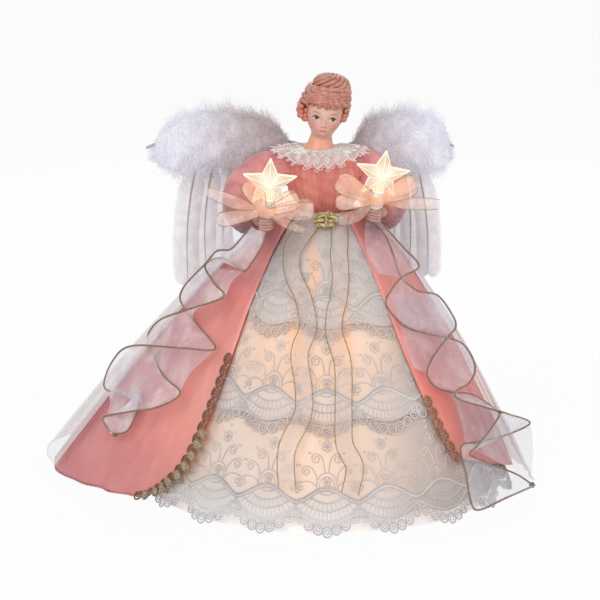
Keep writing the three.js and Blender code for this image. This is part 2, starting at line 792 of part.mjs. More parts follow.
for (const { side, sign, curve, wrist, reach, fist, wire, tilt } of armSides) {
  const lamp = new THREE.Group();
  lamp.rotation.set(lampLeanDegrees * radians, tilt * radians, 0);
  lamp.position.copy(fist);
  lamp.translateZ(fistRadius + seatGap);
  lamp.updateMatrix();
  figure.add(lamp);

  const sleeveOuter = ringsAlong(curve, 9, 10, (share) => between(sleeveRadii, share));
  const sleeveBore = ringsAlong(curve, 9, 10, () => sleeveBoreRadius);
  const sleeve = sheetSolid(sleeveOuter, sleeveBore, true);
  addPiece(figure, `sleeve_${side}`, cut(sleeve, bodiceClearance), satinPink, 0.4);
  addPiece(figure, `arm_wire_${side}`, wireAlong(wire, armWireRadius, wireSteps, 6), wireGrey, 0.4, 0.8);

  const cuff = wrist.clone().addScaledVector(reach, seatGap);
  const palm = curveThrough([cuff, fist]);
  const wristPiece = loftSolid(ringsAlong(palm, 3, 10, () => wristRadius));
  const fistPiece = ellipsoid(2 * fistRadius, 2 * fistRadius, 2 * fistRadius, 12, 8).translate(...fist);
  const stemHole = rod(stemRadius + seatGap, -stemLength - seatGap, fistRadius).applyMatrix4(lamp.matrix);
  const sleeveEnd = rod(4 * wristRadius, -4 * wristRadius, 0);
  sleeveEnd.applyQuaternion(new THREE.Quaternion().setFromUnitVectors(upward, reach)).translate(...cuff);
  const wireHole = wireBores[armSides.findIndex((arm) => arm.side === side)];
  const hand = cut(joined(wristPiece, fistPiece), stemHole, sleeveEnd, wireHole);
  addPiece(figure, `hand_${side}`, hand, skinPeach, 0.4);

  const holder = joined(lampHolder(holderLength), rod(stemRadius, -stemLength, 1, 10));
  addPiece(lamp, `lamp_holder_${side}`, holder, plasticWhite, 0.4);
  addPiece(lamp, `star_bulb_${side}`, lampBulb(holderLength, bulbLength), glassWarm, 0.1);
  addPiece(lamp, `star_cover_${side}`, starCover(), glassWarm, 0.15);

  const bow = addPiece(figure, `hand_bow_${side}`, handBow(sign), organzaWhite, 0.5);
  bow.position.copy(fist).add(new THREE.Vector3(0, -(fistRadius + bowRibbonWidth / 2 + seatGap), 0));
}

// Twisted mantles: a strip between two edges that wind round each other
function mantle({ sign, fist }, startDrop, route, halfTurns) {
  const steps = 40;
  const start = fist.clone().add(new THREE.Vector3(0, 0, -(fistRadius + startDrop)));
  const skirtPoints = route.map(([degrees, drop, distance]) => {
    const height = waistHeight - drop;
    const surface = skirtPoint(degrees * radians, height, overskirtLift, overskirtWave, satinThickness);
    const outward = new THREE.Vector3(surface.x, surface.y, 0).normalize();
    return surface.addScaledVector(outward, distance);
  });
  const path = curveThrough([start, ...skirtPoints]);
  const face = (grow) => counted(steps + 1, (step) => {
    const share = step / steps;
    const middle = path.getPointAt(share);
    const along = path.getTangentAt(share);
    const rise = mantleOutwardRise * Math.hypot(middle.x, middle.y);
    const outward = new THREE.Vector3(middle.x, middle.y, rise).normalize();
    const aside = along.clone().cross(outward).normalize();
    const out = aside.clone().cross(along).normalize();
    const turn = sign * Math.PI * halfTurns * share;
    const opened = Math.min(1, share / mantleOpenShare);
    const width = THREE.MathUtils.lerp(mantleStartHalfWidth, mantleHalfWidth, opened);
    const spread = aside.clone().multiplyScalar(Math.cos(turn) * width)
      .addScaledVector(out, Math.sin(turn) * width * mantleDepthShare);
    const facing = along.clone().cross(spread).normalize().multiplyScalar(grow);
    return [-1, 0, 1].map((edge) => middle.clone().addScaledVector(spread, edge).add(facing));
  });
  return sheetSolid(face(organzaThickness / 2), face(-organzaThickness / 2));
}

const [leftArm, rightArm] = armSides;
const leftMantle = mantle(leftArm, mantleStartDropLeft, mantleRouteLeft, mantleHalfTurnsLeft);
const rightMantle = mantle(rightArm, mantleStartDropRight, mantleRouteRight, mantleHalfTurnsRight);
addPiece(figure, 'mantle_left', leftMantle, organzaWhite, 0.5);
addPiece(figure, 'mantle_right', rightMantle, organzaWhite, 0.5);

// Wing plate with two barrels on the back of the bodice
const wingPlateMiddle = waistHeight + wingPlateRise;
const wingPlateFront = bustSize(wingPlateMiddle)[1] + bodiceOuter + layerGap;
const wingPivotY = wingPlateFront + wingPlateThickness + wingBarrelRadius / 2;

function wingPlate() {
  const plate = new THREE.BoxGeometry(wingPlateWidth, wingPlateThickness, wingPlateHeight);
  plate.translate(0, wingPlateFront + wingPlateThickness / 2, wingPlateMiddle);
  const foot = wingPlateMiddle - wingBarrelHeight / 2;
  const barrels = [-1, 1].map((sign) => rod(wingBarrelRadius, foot, foot + wingBarrelHeight)
    .translate(sign * wingPivotX, wingPivotY, 0));
  const bores = [-1, 1].map((sign) => rod(wingWireRadius + seatGap, foot - 1, foot + wingBarrelHeight + 1)
    .translate(sign * wingPivotX, wingPivotY, 0));
  return cut(joined(plate, ...barrels), ...bores);
}

addPiece(figure, 'wing_plate', wingPlate(), plasticWhite, 0.5);

// Each wing hangs from its pivot: a bent wire, the down along it and the long feathers below
function wing(side, sign, stemRoute, feathers) {
  const pivot = new THREE.Group();
  pivot.position.set(sign * wingPivotX, wingPivotY, wingPlateMiddle);
  figure.add(pivot);
  const route = stemRoute.map(([out, back, up]) => new THREE.Vector3(sign * out, back, up));
  const pin = [-wingBarrelHeight / 2, 0, wingBarrelHeight / 2].map((up) => new THREE.Vector3(0, 0, up));
  const stem = curveThrough([...pin, ...route]);
  addPiece(pivot, `wing_wire_${side}`, wireAlong(stem, wingWireRadius, wireSteps, 6), wireGrey, 0.4, 0.8);

  const round = (share) => {
    const turn = Math.PI * THREE.MathUtils.lerp(fluffTipShare, 1 - fluffTipShare, share);
    return Math.sin(turn) ** fluffFullness;
  };
  const backward = new THREE.Vector3(0, 1, 0);
  const fluffRings = (high, deep) => counted(fluffStations, (station) => {
    const share = station / (fluffStations - 1);
    const place = THREE.MathUtils.lerp(fluffFromShare, fluffToShare, share);
    const middle = stem.getPointAt(place);
    const up = backward.clone().cross(stem.getTangentAt(place)).normalize();
    return counted(fluffSides, (corner) => {
      const turn = (2 * Math.PI * corner) / fluffSides;
      return middle.clone().addScaledVector(up, high(share) * Math.cos(turn))
        .addScaledVector(backward, deep(share) * Math.sin(turn));
    });
  });
  const bore = () => wingWireRadius + seatGap + facetAllowance;
  const fluffBody = (size) => fluffRings(
    (share) => fluffHalfHeight * size(share), (share) => fluffHalfDepth * size(share));
  const fluff = sheetSolid(fluffBody(round), fluffRings(bore, bore), true);
  addPiece(pivot, `wing_down_${side}`, fluff, featherWhite, 0.95);

  const fluffClearance = loftSolid(fluffBody((share) => round(share) + seatGap / fluffHalfDepth));
  feathers.forEach(([rootOut, tipOut, length, halfWidth], index) => {
    const back = featherBack + featherStep * index;
    const face = (thickness) => counted(featherRows + 1, (row) => {
      const share = row / featherRows;
      const out = THREE.MathUtils.lerp(rootOut, tipOut, Math.sin(share * Math.PI / 2));
      const swell = Math.sin(Math.PI * THREE.MathUtils.lerp(featherRootShare, featherTipShare, share));
      const width = Math.max(featherTipHalfWidth, halfWidth * swell ** featherFullness);
      const rise = featherRootRise - length * share;
      return [-1, 0, 1].map((edge) => new THREE.Vector3(
        sign * (out + edge * width), back - featherCup * Math.abs(edge) + thickness, rise));
    });
    const blade = sheetSolid(face(featherThickness), face(0));
    addPiece(pivot, `wing_feather_${side}_${index + 1}`, cut(blade, fluffClearance), featherWhite, 0.8);
  });
}

wing('left', -1, stemRouteLeft, feathersLeft);
wing('right', 1, stemRouteRight, feathersRight);

// Skirt lamps seated square on the inside of the cone, bulbs inwards
const skirtLamps = [
  ...lowerLampDegrees.map((degrees) => [degrees, lowerLampHeight]),
  ...upperLampDegrees.map((degrees) => [degrees, upperLampHeight]),
];

function coneInside(angle, height) {
  const outward = new THREE.Vector3(Math.sin(angle), -Math.cos(angle), 0);
  const [hit] = new THREE.Raycaster(new THREE.Vector3(0, 0, height), outward).intersectObject(skirtConeMesh);
  return { point: hit.point, inward: hit.face.normal };
}

skirtLamps.forEach(([degrees, height], index) => {
  const { point, inward } = coneInside(degrees * radians, height);
  const socket = new THREE.Group();
  socket.position.copy(point).addScaledVector(inward, lampSeatGap);
  socket.quaternion.setFromUnitVectors(upward, inward);
  figure.add(socket);
  const bulb = lampBulb(skirtHolderLength, skirtBulbLength);
  addPiece(socket, `skirt_lamp_holder_${index + 1}`, lampHolder(skirtHolderLength), plasticWhite, 0.4);
  addPiece(socket, `skirt_lamp_bulb_${index + 1}`, bulb, glassWarm, 0.1);
});

// Wiring of the skirt lamps: one lead that runs over every holder, lower row first
function lampWiring() {
  const middle = lampSeatGap + skirtHolderLength / 2;
  const over = holderRadius + wiringRadius + wiringClearance;
  const wayPoint = (degrees, height) => {
    const { point, inward } = coneInside(degrees * radians, height);
    const upWall = upward.clone().addScaledVector(inward, -inward.z).normalize();
    return point.addScaledVector(inward, middle).addScaledVector(upWall, over);
  };
  const points = wiringOrder.flatMap((number, place) => {
    const [degrees, height] = skirtLamps[number - 1];
    if (place === 0) return [wayPoint(degrees, height)];
    const [fromDegrees, fromHeight] = skirtLamps[wiringOrder[place - 1] - 1];
    const turn = THREE.MathUtils.euclideanModulo(degrees - fromDegrees + 180, 360) - 180;
    return [0.25, 0.5, 0.75, 1].map((share) => {
      const rise = THREE.MathUtils.smoothstep(share, 0, wiringRiseShare);
      return wayPoint(fromDegrees + turn * share, THREE.MathUtils.lerp(fromHeight, height, rise));
    });
  });
  return wireAlong(curveThrough(points), wiringRadius, 60, 4);
}

addPiece(figure, 'lamp_wiring', lampWiring(), wiringWhite, 0.6);

export default figure;
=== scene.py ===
import math

import bpy
import numpy as np
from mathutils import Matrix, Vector


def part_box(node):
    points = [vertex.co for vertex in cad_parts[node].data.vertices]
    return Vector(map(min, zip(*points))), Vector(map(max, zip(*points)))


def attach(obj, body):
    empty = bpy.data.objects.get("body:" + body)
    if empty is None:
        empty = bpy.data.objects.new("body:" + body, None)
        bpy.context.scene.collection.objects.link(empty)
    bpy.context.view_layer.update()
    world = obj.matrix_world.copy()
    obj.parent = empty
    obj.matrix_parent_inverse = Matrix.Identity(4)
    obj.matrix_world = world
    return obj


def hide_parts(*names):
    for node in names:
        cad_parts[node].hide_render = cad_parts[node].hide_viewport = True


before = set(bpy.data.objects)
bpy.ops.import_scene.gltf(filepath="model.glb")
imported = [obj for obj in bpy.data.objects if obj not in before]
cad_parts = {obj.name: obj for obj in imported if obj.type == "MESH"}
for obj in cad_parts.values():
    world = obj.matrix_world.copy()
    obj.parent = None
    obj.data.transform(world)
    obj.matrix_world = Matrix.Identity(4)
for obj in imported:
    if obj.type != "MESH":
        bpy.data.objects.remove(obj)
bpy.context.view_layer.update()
scene = bpy.context.scene
scene.view_settings.view_transform = "Standard"

# Lengths below are millimetres from the foot of the figure's axis: x to the viewer's right, y back, z up.
bustLow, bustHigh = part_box("bust_form")
axisFoot = np.array([(bustLow.x + bustHigh.x) / 2, (bustLow.y + bustHigh.y) / 2, 0])


def toFrame(points):
    return np.asarray(points, float) / 1000 + axisFoot


def fromFrame(point):
    return (np.array(point, float) - axisFoot) * 1000


def nodeMiddle(node):
    low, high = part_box(node)
    return fromFrame((low + high) / 2)


signs = {"left": -1, "right": 1}        # the viewer's sides

photoView = {
    "aim": (-19, 0, 135.5),
    "distance": 1500,
    "rise": 12.5,       # degrees that the camera looks down
    "lens": 118.5,
    "sensor": 36,
    "pixels": 600,
}


def addCamera(view):
    data = bpy.data.cameras.new("photoCamera")
    data.lens = view["lens"]
    data.sensor_width = view["sensor"]
    data.clip_end = 50
    camera = bpy.data.objects.new("photoCamera", data)
    rise = math.radians(view["rise"])
    eye = np.array(view["aim"]) + view["distance"] * np.array([0, -math.cos(rise), math.sin(rise)])
    camera.location = toFrame(eye)
    camera.rotation_euler = (math.pi / 2 - rise, 0, 0)
    scene.collection.objects.link(camera)
    scene.camera = camera
    return eye


eyePoint = addCamera(photoView)


def sightLine(across, down):
    # direction of the photograph's pixel (across, down) from the camera
    rise = math.radians(photoView["rise"])
    focal = photoView["lens"] / photoView["sensor"] * photoView["pixels"]
    half = photoView["pixels"] / 2
    ahead = np.array([0, math.cos(rise), -math.sin(rise)])
    upward = np.array([0, math.sin(rise), math.cos(rise)])
    ray = ahead * focal + np.array([1, 0, 0]) * (across - half) + upward * (half - down)
    return ray / np.linalg.norm(ray)


print("stage: camera set")


def tint(code):
    shares = [int(code[place:place + 2], 16) / 255 for place in (0, 2, 4)]
    return tuple(s / 12.92 if s <= .04045 else ((s + .055) / 1.055) ** 2.4 for s in shares) + (1,)


class Wire:
    # one socket's value, so that shader maths reads as a sum
    def __init__(self, look, socket):
        self.look = look
        self.socket = socket

    def maths(self, operation, first, second=0.0):
        return self.look.node("ShaderNodeMath", {"operation": operation}, {0: first, 1: second})

    def __add__(self, other):
        return self.maths("ADD", self, other)

    def __sub__(self, other):
        return self.maths("SUBTRACT", self, other)

    def __rsub__(self, other):
        return self.maths("SUBTRACT", other, self)

    def __mul__(self, other):
        return self.maths("MULTIPLY", self, other)

    def __truediv__(self, other):
        return self.maths("DIVIDE", self, other)

    def __pow__(self, other):
        return self.maths("POWER", self, other)

    __radd__ = __add__
    __rmul__ = __mul__

    def sine(self):
        return self.maths("SINE", self)

    def absolute(self):
        return self.maths("ABSOLUTE", self)

    def larger(self, other):
        return self.maths("MAXIMUM", self, other)

    def smaller(self, other):
        return self.maths("MINIMUM", self, other)

    def bell(self, width):
        # 1 where the value is 0, fading over the width
        share = self / width
        return self.maths("EXPONENT", share * share * -1)

    def output(self, name):
        # another output of the same node
        return Wire(self.look, self.socket.node.outputs[name])

    def step(self, start, end):
        # 0 before start and 1 after end, smooth between
        settings = {"interpolation_type": "SMOOTHSTEP"}
        return self.look.node("ShaderNodeMapRange", settings, {0: self, 1: start, 2: end, 3: 0.0, 4: 1.0})


class Graph:
    # a node tree, filled node by node
    def __init__(self, tree):
        self.tree = tree
        self.tree.nodes.clear()

    def feed(self, socket, value):
        if isinstance(value, Wire):
            self.tree.links.new(value.socket, socket)
        else:
            socket.default_value = tint(value) if isinstance(value, str) else value

    def node(self, kind, settings=None, sockets=None, output=0):
        made = self.tree.nodes.new(kind)
        for key, value in (settings or {}).items():
            setattr(made, key, value)
        for key, value in (sockets or {}).items():
            self.feed(made.inputs[key], value)
        return Wire(self, made.outputs[output]) if made.outputs else made

    def seen(self):
        # 1 for what the camera sees, straight on or by way of gloss and glass
        path = self.node("ShaderNodeLightPath")
        rays = path.output("Is Camera Ray") + path.output("Is Glossy Ray")
        return (rays + path.output("Is Transmission Ray")).smaller(1.0)


class Look(Graph):
    # one material; colours are written as six hexadecimal digits
    def __init__(self, name):
        self.material = bpy.data.materials.new(name)
        self.material.use_nodes = True
        super().__init__(self.material.node_tree)
        self.surface = self.node("ShaderNodeBsdfPrincipled")
        self.result = self.node("ShaderNodeOutputMaterial", None, {0: self.surface})
        self.spot = None

    def finish(self, **sockets):
        if "EmissionColor" in sockets:
            sockets.setdefault("EmissionStrength", 1.0)
        for name, value in sockets.items():
            spaced = "".join(" " + c if c.isupper() and i else c for i, c in enumerate(name))
            self.feed(self.surface.socket.node.inputs[spaced], value)
        return self.material

    def place(self):
        # millimetres from the foot of the axis, moving with the piece
        if self.spot is None:
            spot = self.node("ShaderNodeTexCoord", output="Object")
            moved = self.vector("SUBTRACT", spot, tuple(axisFoot))
            self.spot = self.node("ShaderNodeVectorMath", {"operation": "SCALE"}, {0: moved, "Scale": 1000.0})
        return self.spot

    def vector(self, operation, first, second, output=0):
        return self.node("ShaderNodeVectorMath", {"operation": operation}, {0: first, 1: second}, output)

    def parts(self, vector):
        made = self.node("ShaderNodeSeparateXYZ", None, {0: vector})
        return [made.output(name) for name in "XYZ"]

    def axes(self):
        return self.parts(self.place())

    def laid(self):
        # the piece's own flat coordinates, in millimetres of cloth
        return self.node("ShaderNodeUVMap", {"uv_map": "cloth"})

    def cloth(self):
        return self.parts(self.laid())[:2]

    def net(self, pitch):
        # crossing threads of a plain weave
        u, v = self.cloth()
        return (u * (2 * math.pi / pitch)).sine() * (v * (2 * math.pi / pitch)).sine()

    def away(self, point):
        return self.vector("DISTANCE", self.place(), tuple(point), "Value")

    def noise(self, size, detail=2.0, vector=None, stretch=None):
        spot = vector or self.place()
        if stretch:
            spot = self.vector("MULTIPLY", spot, stretch)
        sockets = {"Vector": spot, "Scale": 1 / size, "Detail": detail}
        return self.node("ShaderNodeTexNoise", None, sockets, "Fac")

    def mix(self, share, first, second):
        return self.node("ShaderNodeMix", {"data_type": "RGBA"}, {0: share, 6: first, 7: second}, 2)

    def coats(self, colour, *layers):
        # each layer covers what is under it by its share
        for share, over in layers:
            colour = self.mix(share, colour, over)
        return colour

    def shine(self, share, colour):
        return self.mix(share, "000000", colour)

    def bump(self, height, distance, strength=1.0, under=None):
        sockets = {"Height": height, "Distance": distance / 1000, "Strength": strength}
        if under:
            sockets["Normal"] = under
        return self.node("ShaderNodeBump", None, sockets)


skirtLamps = [nodeMiddle(f"skirt_lamp_bulb_{n}") for n in range(1, 9)]
starMiddles = {side: nodeMiddle(f"star_cover_{side}") for side in signs}


def lampGlow(look, reach):
    # warm light of the skirt lamps, as it comes through the cloth
    total = 0.0
    for lamp in skirtLamps:
        total = look.away(lamp).bell(reach) + total
    return total.smaller(1.0)


def starGlow(look, reach):
    left, right = (look.away(starMiddles[side]).bell(reach) for side in ("left", "right"))
    return (left + right).smaller(1.0)


def unit(vectors):
    vectors = np.asarray(vectors, float)
    length = np.linalg.norm(vectors, axis=-1, keepdims=True)
    return vectors / np.maximum(length, 1e-9)


def bell(value, width):
    # 1 where the value is 0, fading over the width
    return np.exp(-(value / width) ** 2)


def joined(*parts):
    return np.stack(np.broadcast_arrays(*parts), -1)


def fullTurn(count, start=0):
    return np.linspace(start, start + 2 * math.pi, count, endpoint=False)


def stepLengths(points):
    return np.linalg.norm(np.diff(points, axis=0), axis=1)


def runLengths(points):
    # length of the run up to each point
    return np.concatenate([[0], np.cumsum(stepLengths(points))])


def smoothPath(points, steps):
    # Catmull-Rom curve through the points
    points = np.asarray(points, float)
    points = np.vstack([2 * points[0] - points[1], points, 2 * points[-1] - points[-2]])
    shares = np.linspace(0, 1, steps, endpoint=False)[:, None]
    runs = []
    for a, b, c, d in zip(points, points[1:], points[2:], points[3:]):
        bend = 2 * a - 5 * b + 4 * c - d
        twist = 3 * b - a - 3 * c + d
        runs.append((2 * b + (c - a) * shares + bend * shares ** 2 + twist * shares ** 3) / 2)
    return np.vstack(runs + [points[-2][None]])


def evenPath(points, count):
    points = np.asarray(points, float)
    lengths = runLengths(points)
    wanted = np.linspace(0, lengths[-1], count)
    return np.stack([np.interp(wanted, lengths, points[:, k]) for k in range(points.shape[1])], 1)


def pathFrames(path, closed=False):
    # tangent, side and up along a path, turned as little as possible
    if closed:
        tangents = unit(np.roll(path, -1, 0) - np.roll(path, 1, 0))
    else:
        tangents = unit(np.gradient(path, axis=0))
    up = np.array([0, 0, 1.0]) if abs(tangents[0][2]) < .9 else np.array([0, 1.0, 0])
    ups = []
    for tangent in tangents:
        up = up - tangent * np.dot(up, tangent)
        up = up / max(np.linalg.norm(up), 1e-9)
        ups.append(up)
    ups = np.array(ups)
    return tangents, np.cross(tangents, ups), ups


def gridQuads(rows, columns, around=False, closed=False):
    row = np.arange(rows if closed else rows - 1)[:, None]
    column = np.arange(columns if around else columns - 1)[None]
    nextRow = (row + 1) % rows
    nextColumn = (column + 1) % columns
    corners = [row * columns + column, row * columns + nextColumn]
    corners += [nextRow * columns + nextColumn, nextRow * columns + column]
    return np.stack([np.broadcast_to(c, (row.size, column.size)).ravel() for c in corners], 1)


class Bundle:
    # many small meshes gathered into one piece
    def __init__(self):
        self.points = []
        self.quads = []
        self.flats = []
        self.count = 0

    def add(self, points, quads, flat=None):
        points = np.asarray(points, float).reshape(-1, 3)
        self.points.append(points)
        self.quads.append(np.asarray(quads) + self.count)
        self.flats.append(np.zeros((len(points), 2)) if flat is None else np.asarray(flat).reshape(-1, 2))
        self.count += len(points)

    def sheet(self, grid, flat=None, around=False, closed=False):
        grid = np.asarray(grid, float)
        self.add(grid, gridQuads(grid.shape[0], grid.shape[1], around, closed), flat)

    def tube(self, path, radius, sides=6, closed=False, ups=None):
        path = np.asarray(path, float)
        tangents, across, up = pathFrames(path, closed)
        if ups is not None:
            across = unit(np.cross(tangents, ups))
            up = np.cross(across, tangents)
        radii = np.broadcast_to(np.asarray(radius, float), (len(path),)).copy()
        turn = fullTurn(sides)
        ring = across[:, None] * np.cos(turn)[None, :, None] + up[:, None] * np.sin(turn)[None, :, None]
        if not closed:      # rounded ends
            radii[0] *= .45
            radii[-1] *= .45
        grid = path[:, None] + ring * radii[:, None, None]
        self.sheet(grid, around=True, closed=closed)

    def ring(self, middle, across, up, radius, thickness, count, sides=6):
        turn = fullTurn(count)[:, None]
        path = np.asarray(middle) + across * np.cos(turn) * radius + up * np.sin(turn) * radius
        self.tube(path, thickness, sides, closed=True)

    def bead(self, middle, across, up, out, size, rows=5, columns=8):
        # rounded drop with half sizes (across, up, out)
        tilt = np.linspace(-math.pi / 2 + .12, math.pi / 2 - .12, rows)[:, None, None]
        turn = fullTurn(columns)[None, :, None]
        spot = across * (np.cos(tilt) * np.cos(turn) * size[0]) + up * (np.cos(tilt) * np.sin(turn) * size[1])
        self.sheet(np.asarray(middle) + spot + out * (np.sin(tilt) * size[2] + 0 * turn), around=True)

    def piece(self, name, material, body="root", slot=None, stands=()):
        mesh = bpy.data.meshes.new(name)
        points = toFrame(np.vstack(self.points))
        quads = np.vstack(self.quads)
        mesh.from_pydata(points.tolist(), [], quads.tolist())
        mesh.polygons.foreach_set("use_smooth", [True] * len(quads))
        flats = np.vstack(self.flats)
        if np.any(flats):
            layer = mesh.uv_layers.new(name="cloth")
            layer.data.foreach_set("uv", flats[quads.ravel()].ravel())
        mesh.materials.append(material)
        mesh.update()
        made = bpy.data.objects.new(name, mesh)
        scene.collection.objects.link(made)
        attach(made, body)
        if stands:
            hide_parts(*stands)
        return made


def declareSheet(made, flat):
    # millimetres in; the cut's area, never larger than its rectangle, is worked out in square metres and not
    # kept
    width, length = flat
    area = min(sum(face.area for face in made.data.polygons), width * length / 1e6)
    width / 1000
    length / 1000


gownShape = {
    "waistHeight": 202,
    "waistRadius": 14,
    "hemFront": 150,
    "hemBack": 122,
    "bow": .78,
    "bowLean": .1,
    "slope": math.sqrt(.5),
    "throw": 68,        # how far the left side stands out at the hem
}
layerLifts = {"lower": 1.9, "middle": 3.6, "upper": 5.3, "overskirt": 7, "gimp": 9.1, "train": 9.1}


def dropAt(height, lift=0):
    return np.maximum(0, 1 - (height - lift * gownShape["slope"]) / gownShape["waistHeight"])


def waistTop(lift):
    return gownShape["waistHeight"] + lift * gownShape["slope"]


def folds(count, angle):
    return (1 + np.cos(count * angle)) / 2


def sideBell(angle, degrees, width):
    # 1 on the side at these degrees, fading round the skirt
    turned = (angle - math.radians(degrees) + math.pi) % (2 * math.pi) - math.pi
    return bell(turned, math.radians(width))


def flare(angle):
    # share of the side that is thrown out to the left
    return sideBell(angle, -100, 24)


def thrownOut(angle, drop):
    return gownShape["throw"] * flare(angle) * drop ** .63


def underskirtWave(angle, drop):
    return -3 * drop * (1 - folds(8, angle))


def tierWave(angle, drop):
    return 2 * drop * folds(10, angle)


def overskirtWave(angle, drop):
    return 2 * drop + 6 * drop * folds(9, angle) + thrownOut(angle, drop)


def trainWave(angle, drop):
    return overskirtWave(angle, drop) + 2.5 * drop + 11 * flare(angle) * drop ** .5


def skirtRadius(angle, height, lift, wave):
    drop = dropAt(height, lift)
    hem = gownShape["hemBack"] + (gownShape["hemFront"] - gownShape["hemBack"]) * (1 + np.cos(angle)) / 2
    bow = gownShape["bow"] - gownShape["bowLean"] * np.sin(angle)
    radius = gownShape["waistRadius"] + (hem - gownShape["waistRadius"]) * drop ** bow
    return radius + lift * gownShape["slope"] + wave(angle, drop)


def skirtSpot(angle, height, radius):
    return joined(radius * np.sin(angle), -radius * np.cos(angle), height)


def onSkirt(angle, height, lift, wave, out=0):
    return skirtSpot(angle, height, skirtRadius(angle, height, lift, wave) + out)


def leftEdge(height):
    # nearest the front two thirds down, swinging out to the waist and the hem
    drop = dropAt(height)
    waist = np.maximum(0, 1 - drop / .68) ** 2
    hem = np.maximum(0, drop - .68) ** 3
    return -np.radians(45.5 + 22 * waist + 610 * hem)


def rightEdge(height):
    return np.radians(34 + 16 * dropAt(height) ** 3)


satinWeave = {"pitch": .5, "relief": .03, "wrinkle": 1.6}


def satin(look, drape, colour, light, wrinkles, rough=.36, **more):
    # float threads of satin, with soft hand wrinkles under them
    u, v = look.cloth()
    pitch = satinWeave["pitch"]
    threads = (u * (2 * math.pi / pitch)).sine() * .5 + (v * (2 * math.pi / (pitch * 3))).sine() * .2
    normal = look.bump(threads, satinWeave["relief"], .5, look.bump(wrinkles, satinWeave["wrinkle"]))
    return look.finish(BaseColor=colour, Roughness=drape * .2 + rough, EmissionColor=light, Normal=normal,
                       **more)


def pinkSatin():
    look = Look("pinkSatin")
    drape = look.noise(26, 3, stretch=(1, 1, .35))
    x, _, z = look.axes()
    glow = lampGlow(look, 38)
    # painted shade darkens the gown towards the hem; two painted pools of light sit on the right and the left
    # fronts; the lamps' light comes through the cloth
    colour = look.coats(look.mix(drape.step(.35, .68), "df8483", "ee9a95"),
                        (look.noise(60, 2).step(.45, .75) * .6, "d18d93"),
                        ((1 - z.step(15, 90)) * .35, "c07f87"),
                        ((x - 74).bell(20) * (z - 72).bell(34) * .8, "ef7869"),
                        ((x + 82).bell(26) * (z - 76).bell(42) * .75, "f5ab9e"),
                        (glow * .6, "f7a793"))
    wrinkles = look.noise(9, 3, stretch=(1, 1, .4))
    light = look.shine(glow * .16, "ff8a5c")
    return satin(look, drape, colour, light, wrinkles, SheenWeight=.25, SheenRoughness=.4)


def creamSatin():
    look = Look("creamSatin")
    drape = look.noise(30, 3, stretch=(1, 1, .3))
    glow = lampGlow(look, 32)
    colour = look.coats(look.mix(drape.step(.3, .7), "efdccb", "fbeee2"), (glow * .7, "ffd9ae"))
    wrinkles = look.noise(7, 3, stretch=(1, 1, .3))
    return satin(look, drape, colour, look.shine(glow * .4, "ffb066"), wrinkles, .4, SheenWeight=.2)


underskirtCut = {"hem": 10, "columns": 320, "rows": 44, "around": 120, "flat": (860, 240)}


def addUnderskirt(cut):
    angle = fullTurn(cut["columns"], -math.pi)[None]
    height = np.linspace(cut["hem"], waistTop(0), cut["rows"])[:, None]
    crinkle = .5 * dropAt(height) * folds(40, angle + .3 * np.sin(3 * angle))
    grid = onSkirt(angle, height, 0, underskirtWave, .3 + crinkle)
    bundle = Bundle()
    bundle.sheet(grid, joined(angle * cut["around"], height), around=True)
    made = bundle.piece("underskirtCloth", creamSatin(), slot="cream_satin", stands=["underskirt"])
    declareSheet(made, cut["flat"])


addUnderskirt(underskirtCut)

overskirtCut = {
    "hem": 2,
    "caughtUp": 40,     # lift of the hem at the right front corner
    "columns": 420,
    "rows": 70,
    "roll": 1.5,        # radius of the turned edges
    "edgePull": 3.5,    # how far the front edges are drawn in
    "ease": 2.2,        # extra small folds in the cloth
    "around": 115,      # radius at which the cloth's own width is counted
    "flat": (800, 260),
}


def rightEase(angle, drop):
    # on the right the satin hangs close and the organza stands off it
    return drop * sideBell(angle, 95, 45) * (6 * folds(9, angle) + 1.5)


def overskirtOut(angle, height):
    # small folds that the hand left in the gown
    drop = dropAt(height, layerLifts["overskirt"])
    soft = folds(23, angle + .25 * np.sin(5 * angle) + .35 * drop) * .6 + folds(37, angle - .3 * drop) * .4
    ease = overskirtCut["ease"] + 1.6 * (1 - np.cos(angle))        # fuller to the back
    return ease * drop ** 1.3 * soft - rightEase(angle, drop)


def addOverskirt(cut):
    lift = layerLifts["overskirt"]
    share = np.linspace(0, 1, cut["columns"])[None]
    caught = np.clip(1 - share * 310 / 60, 0, 1) ** 1.2
    hem = cut["hem"] + cut["caughtUp"] * caught
    height = hem + (waistTop(lift) - .4 - hem) * np.linspace(0, 1, cut["rows"])[:, None]
    right = rightEdge(height)
    left = leftEdge(height) + 2 * math.pi
    angle = right + (left - right) * share
    drop = dropAt(height, lift)
    reach = skirtRadius(angle, height, lift, overskirtWave)
    fromEdge = np.minimum(share, 1 - share) * (left - right) * reach
    out = 1.7 + overskirtOut(angle, height) - cut["edgePull"] * drop * np.clip(1 - fromEdge / 16, 0, 1) ** 2
    out = out - cut["roll"] * np.clip(1 - fromEdge / 2.2, 0, 1) ** 2      # the front edges roll under
    grid = skirtSpot(angle, height, reach + out)
    # the hem turns under as well
    under = grid[:1] + np.array([0, 0, .6]) - unit(grid[:1] * [1, 1, 0]) * 1.4
    grid = np.concatenate([under, grid])
    flat = joined(angle * cut["around"], height)
    flat = np.concatenate([flat[:1] - [0, 2], flat])
    bundle = Bundle()
    bundle.sheet(grid, flat)
    made = bundle.piece("overskirtSatin", pinkSatin(), slot="pink_satin", stands=["overskirt"])
    declareSheet(made, cut["flat"])


addOverskirt(overskirtCut)


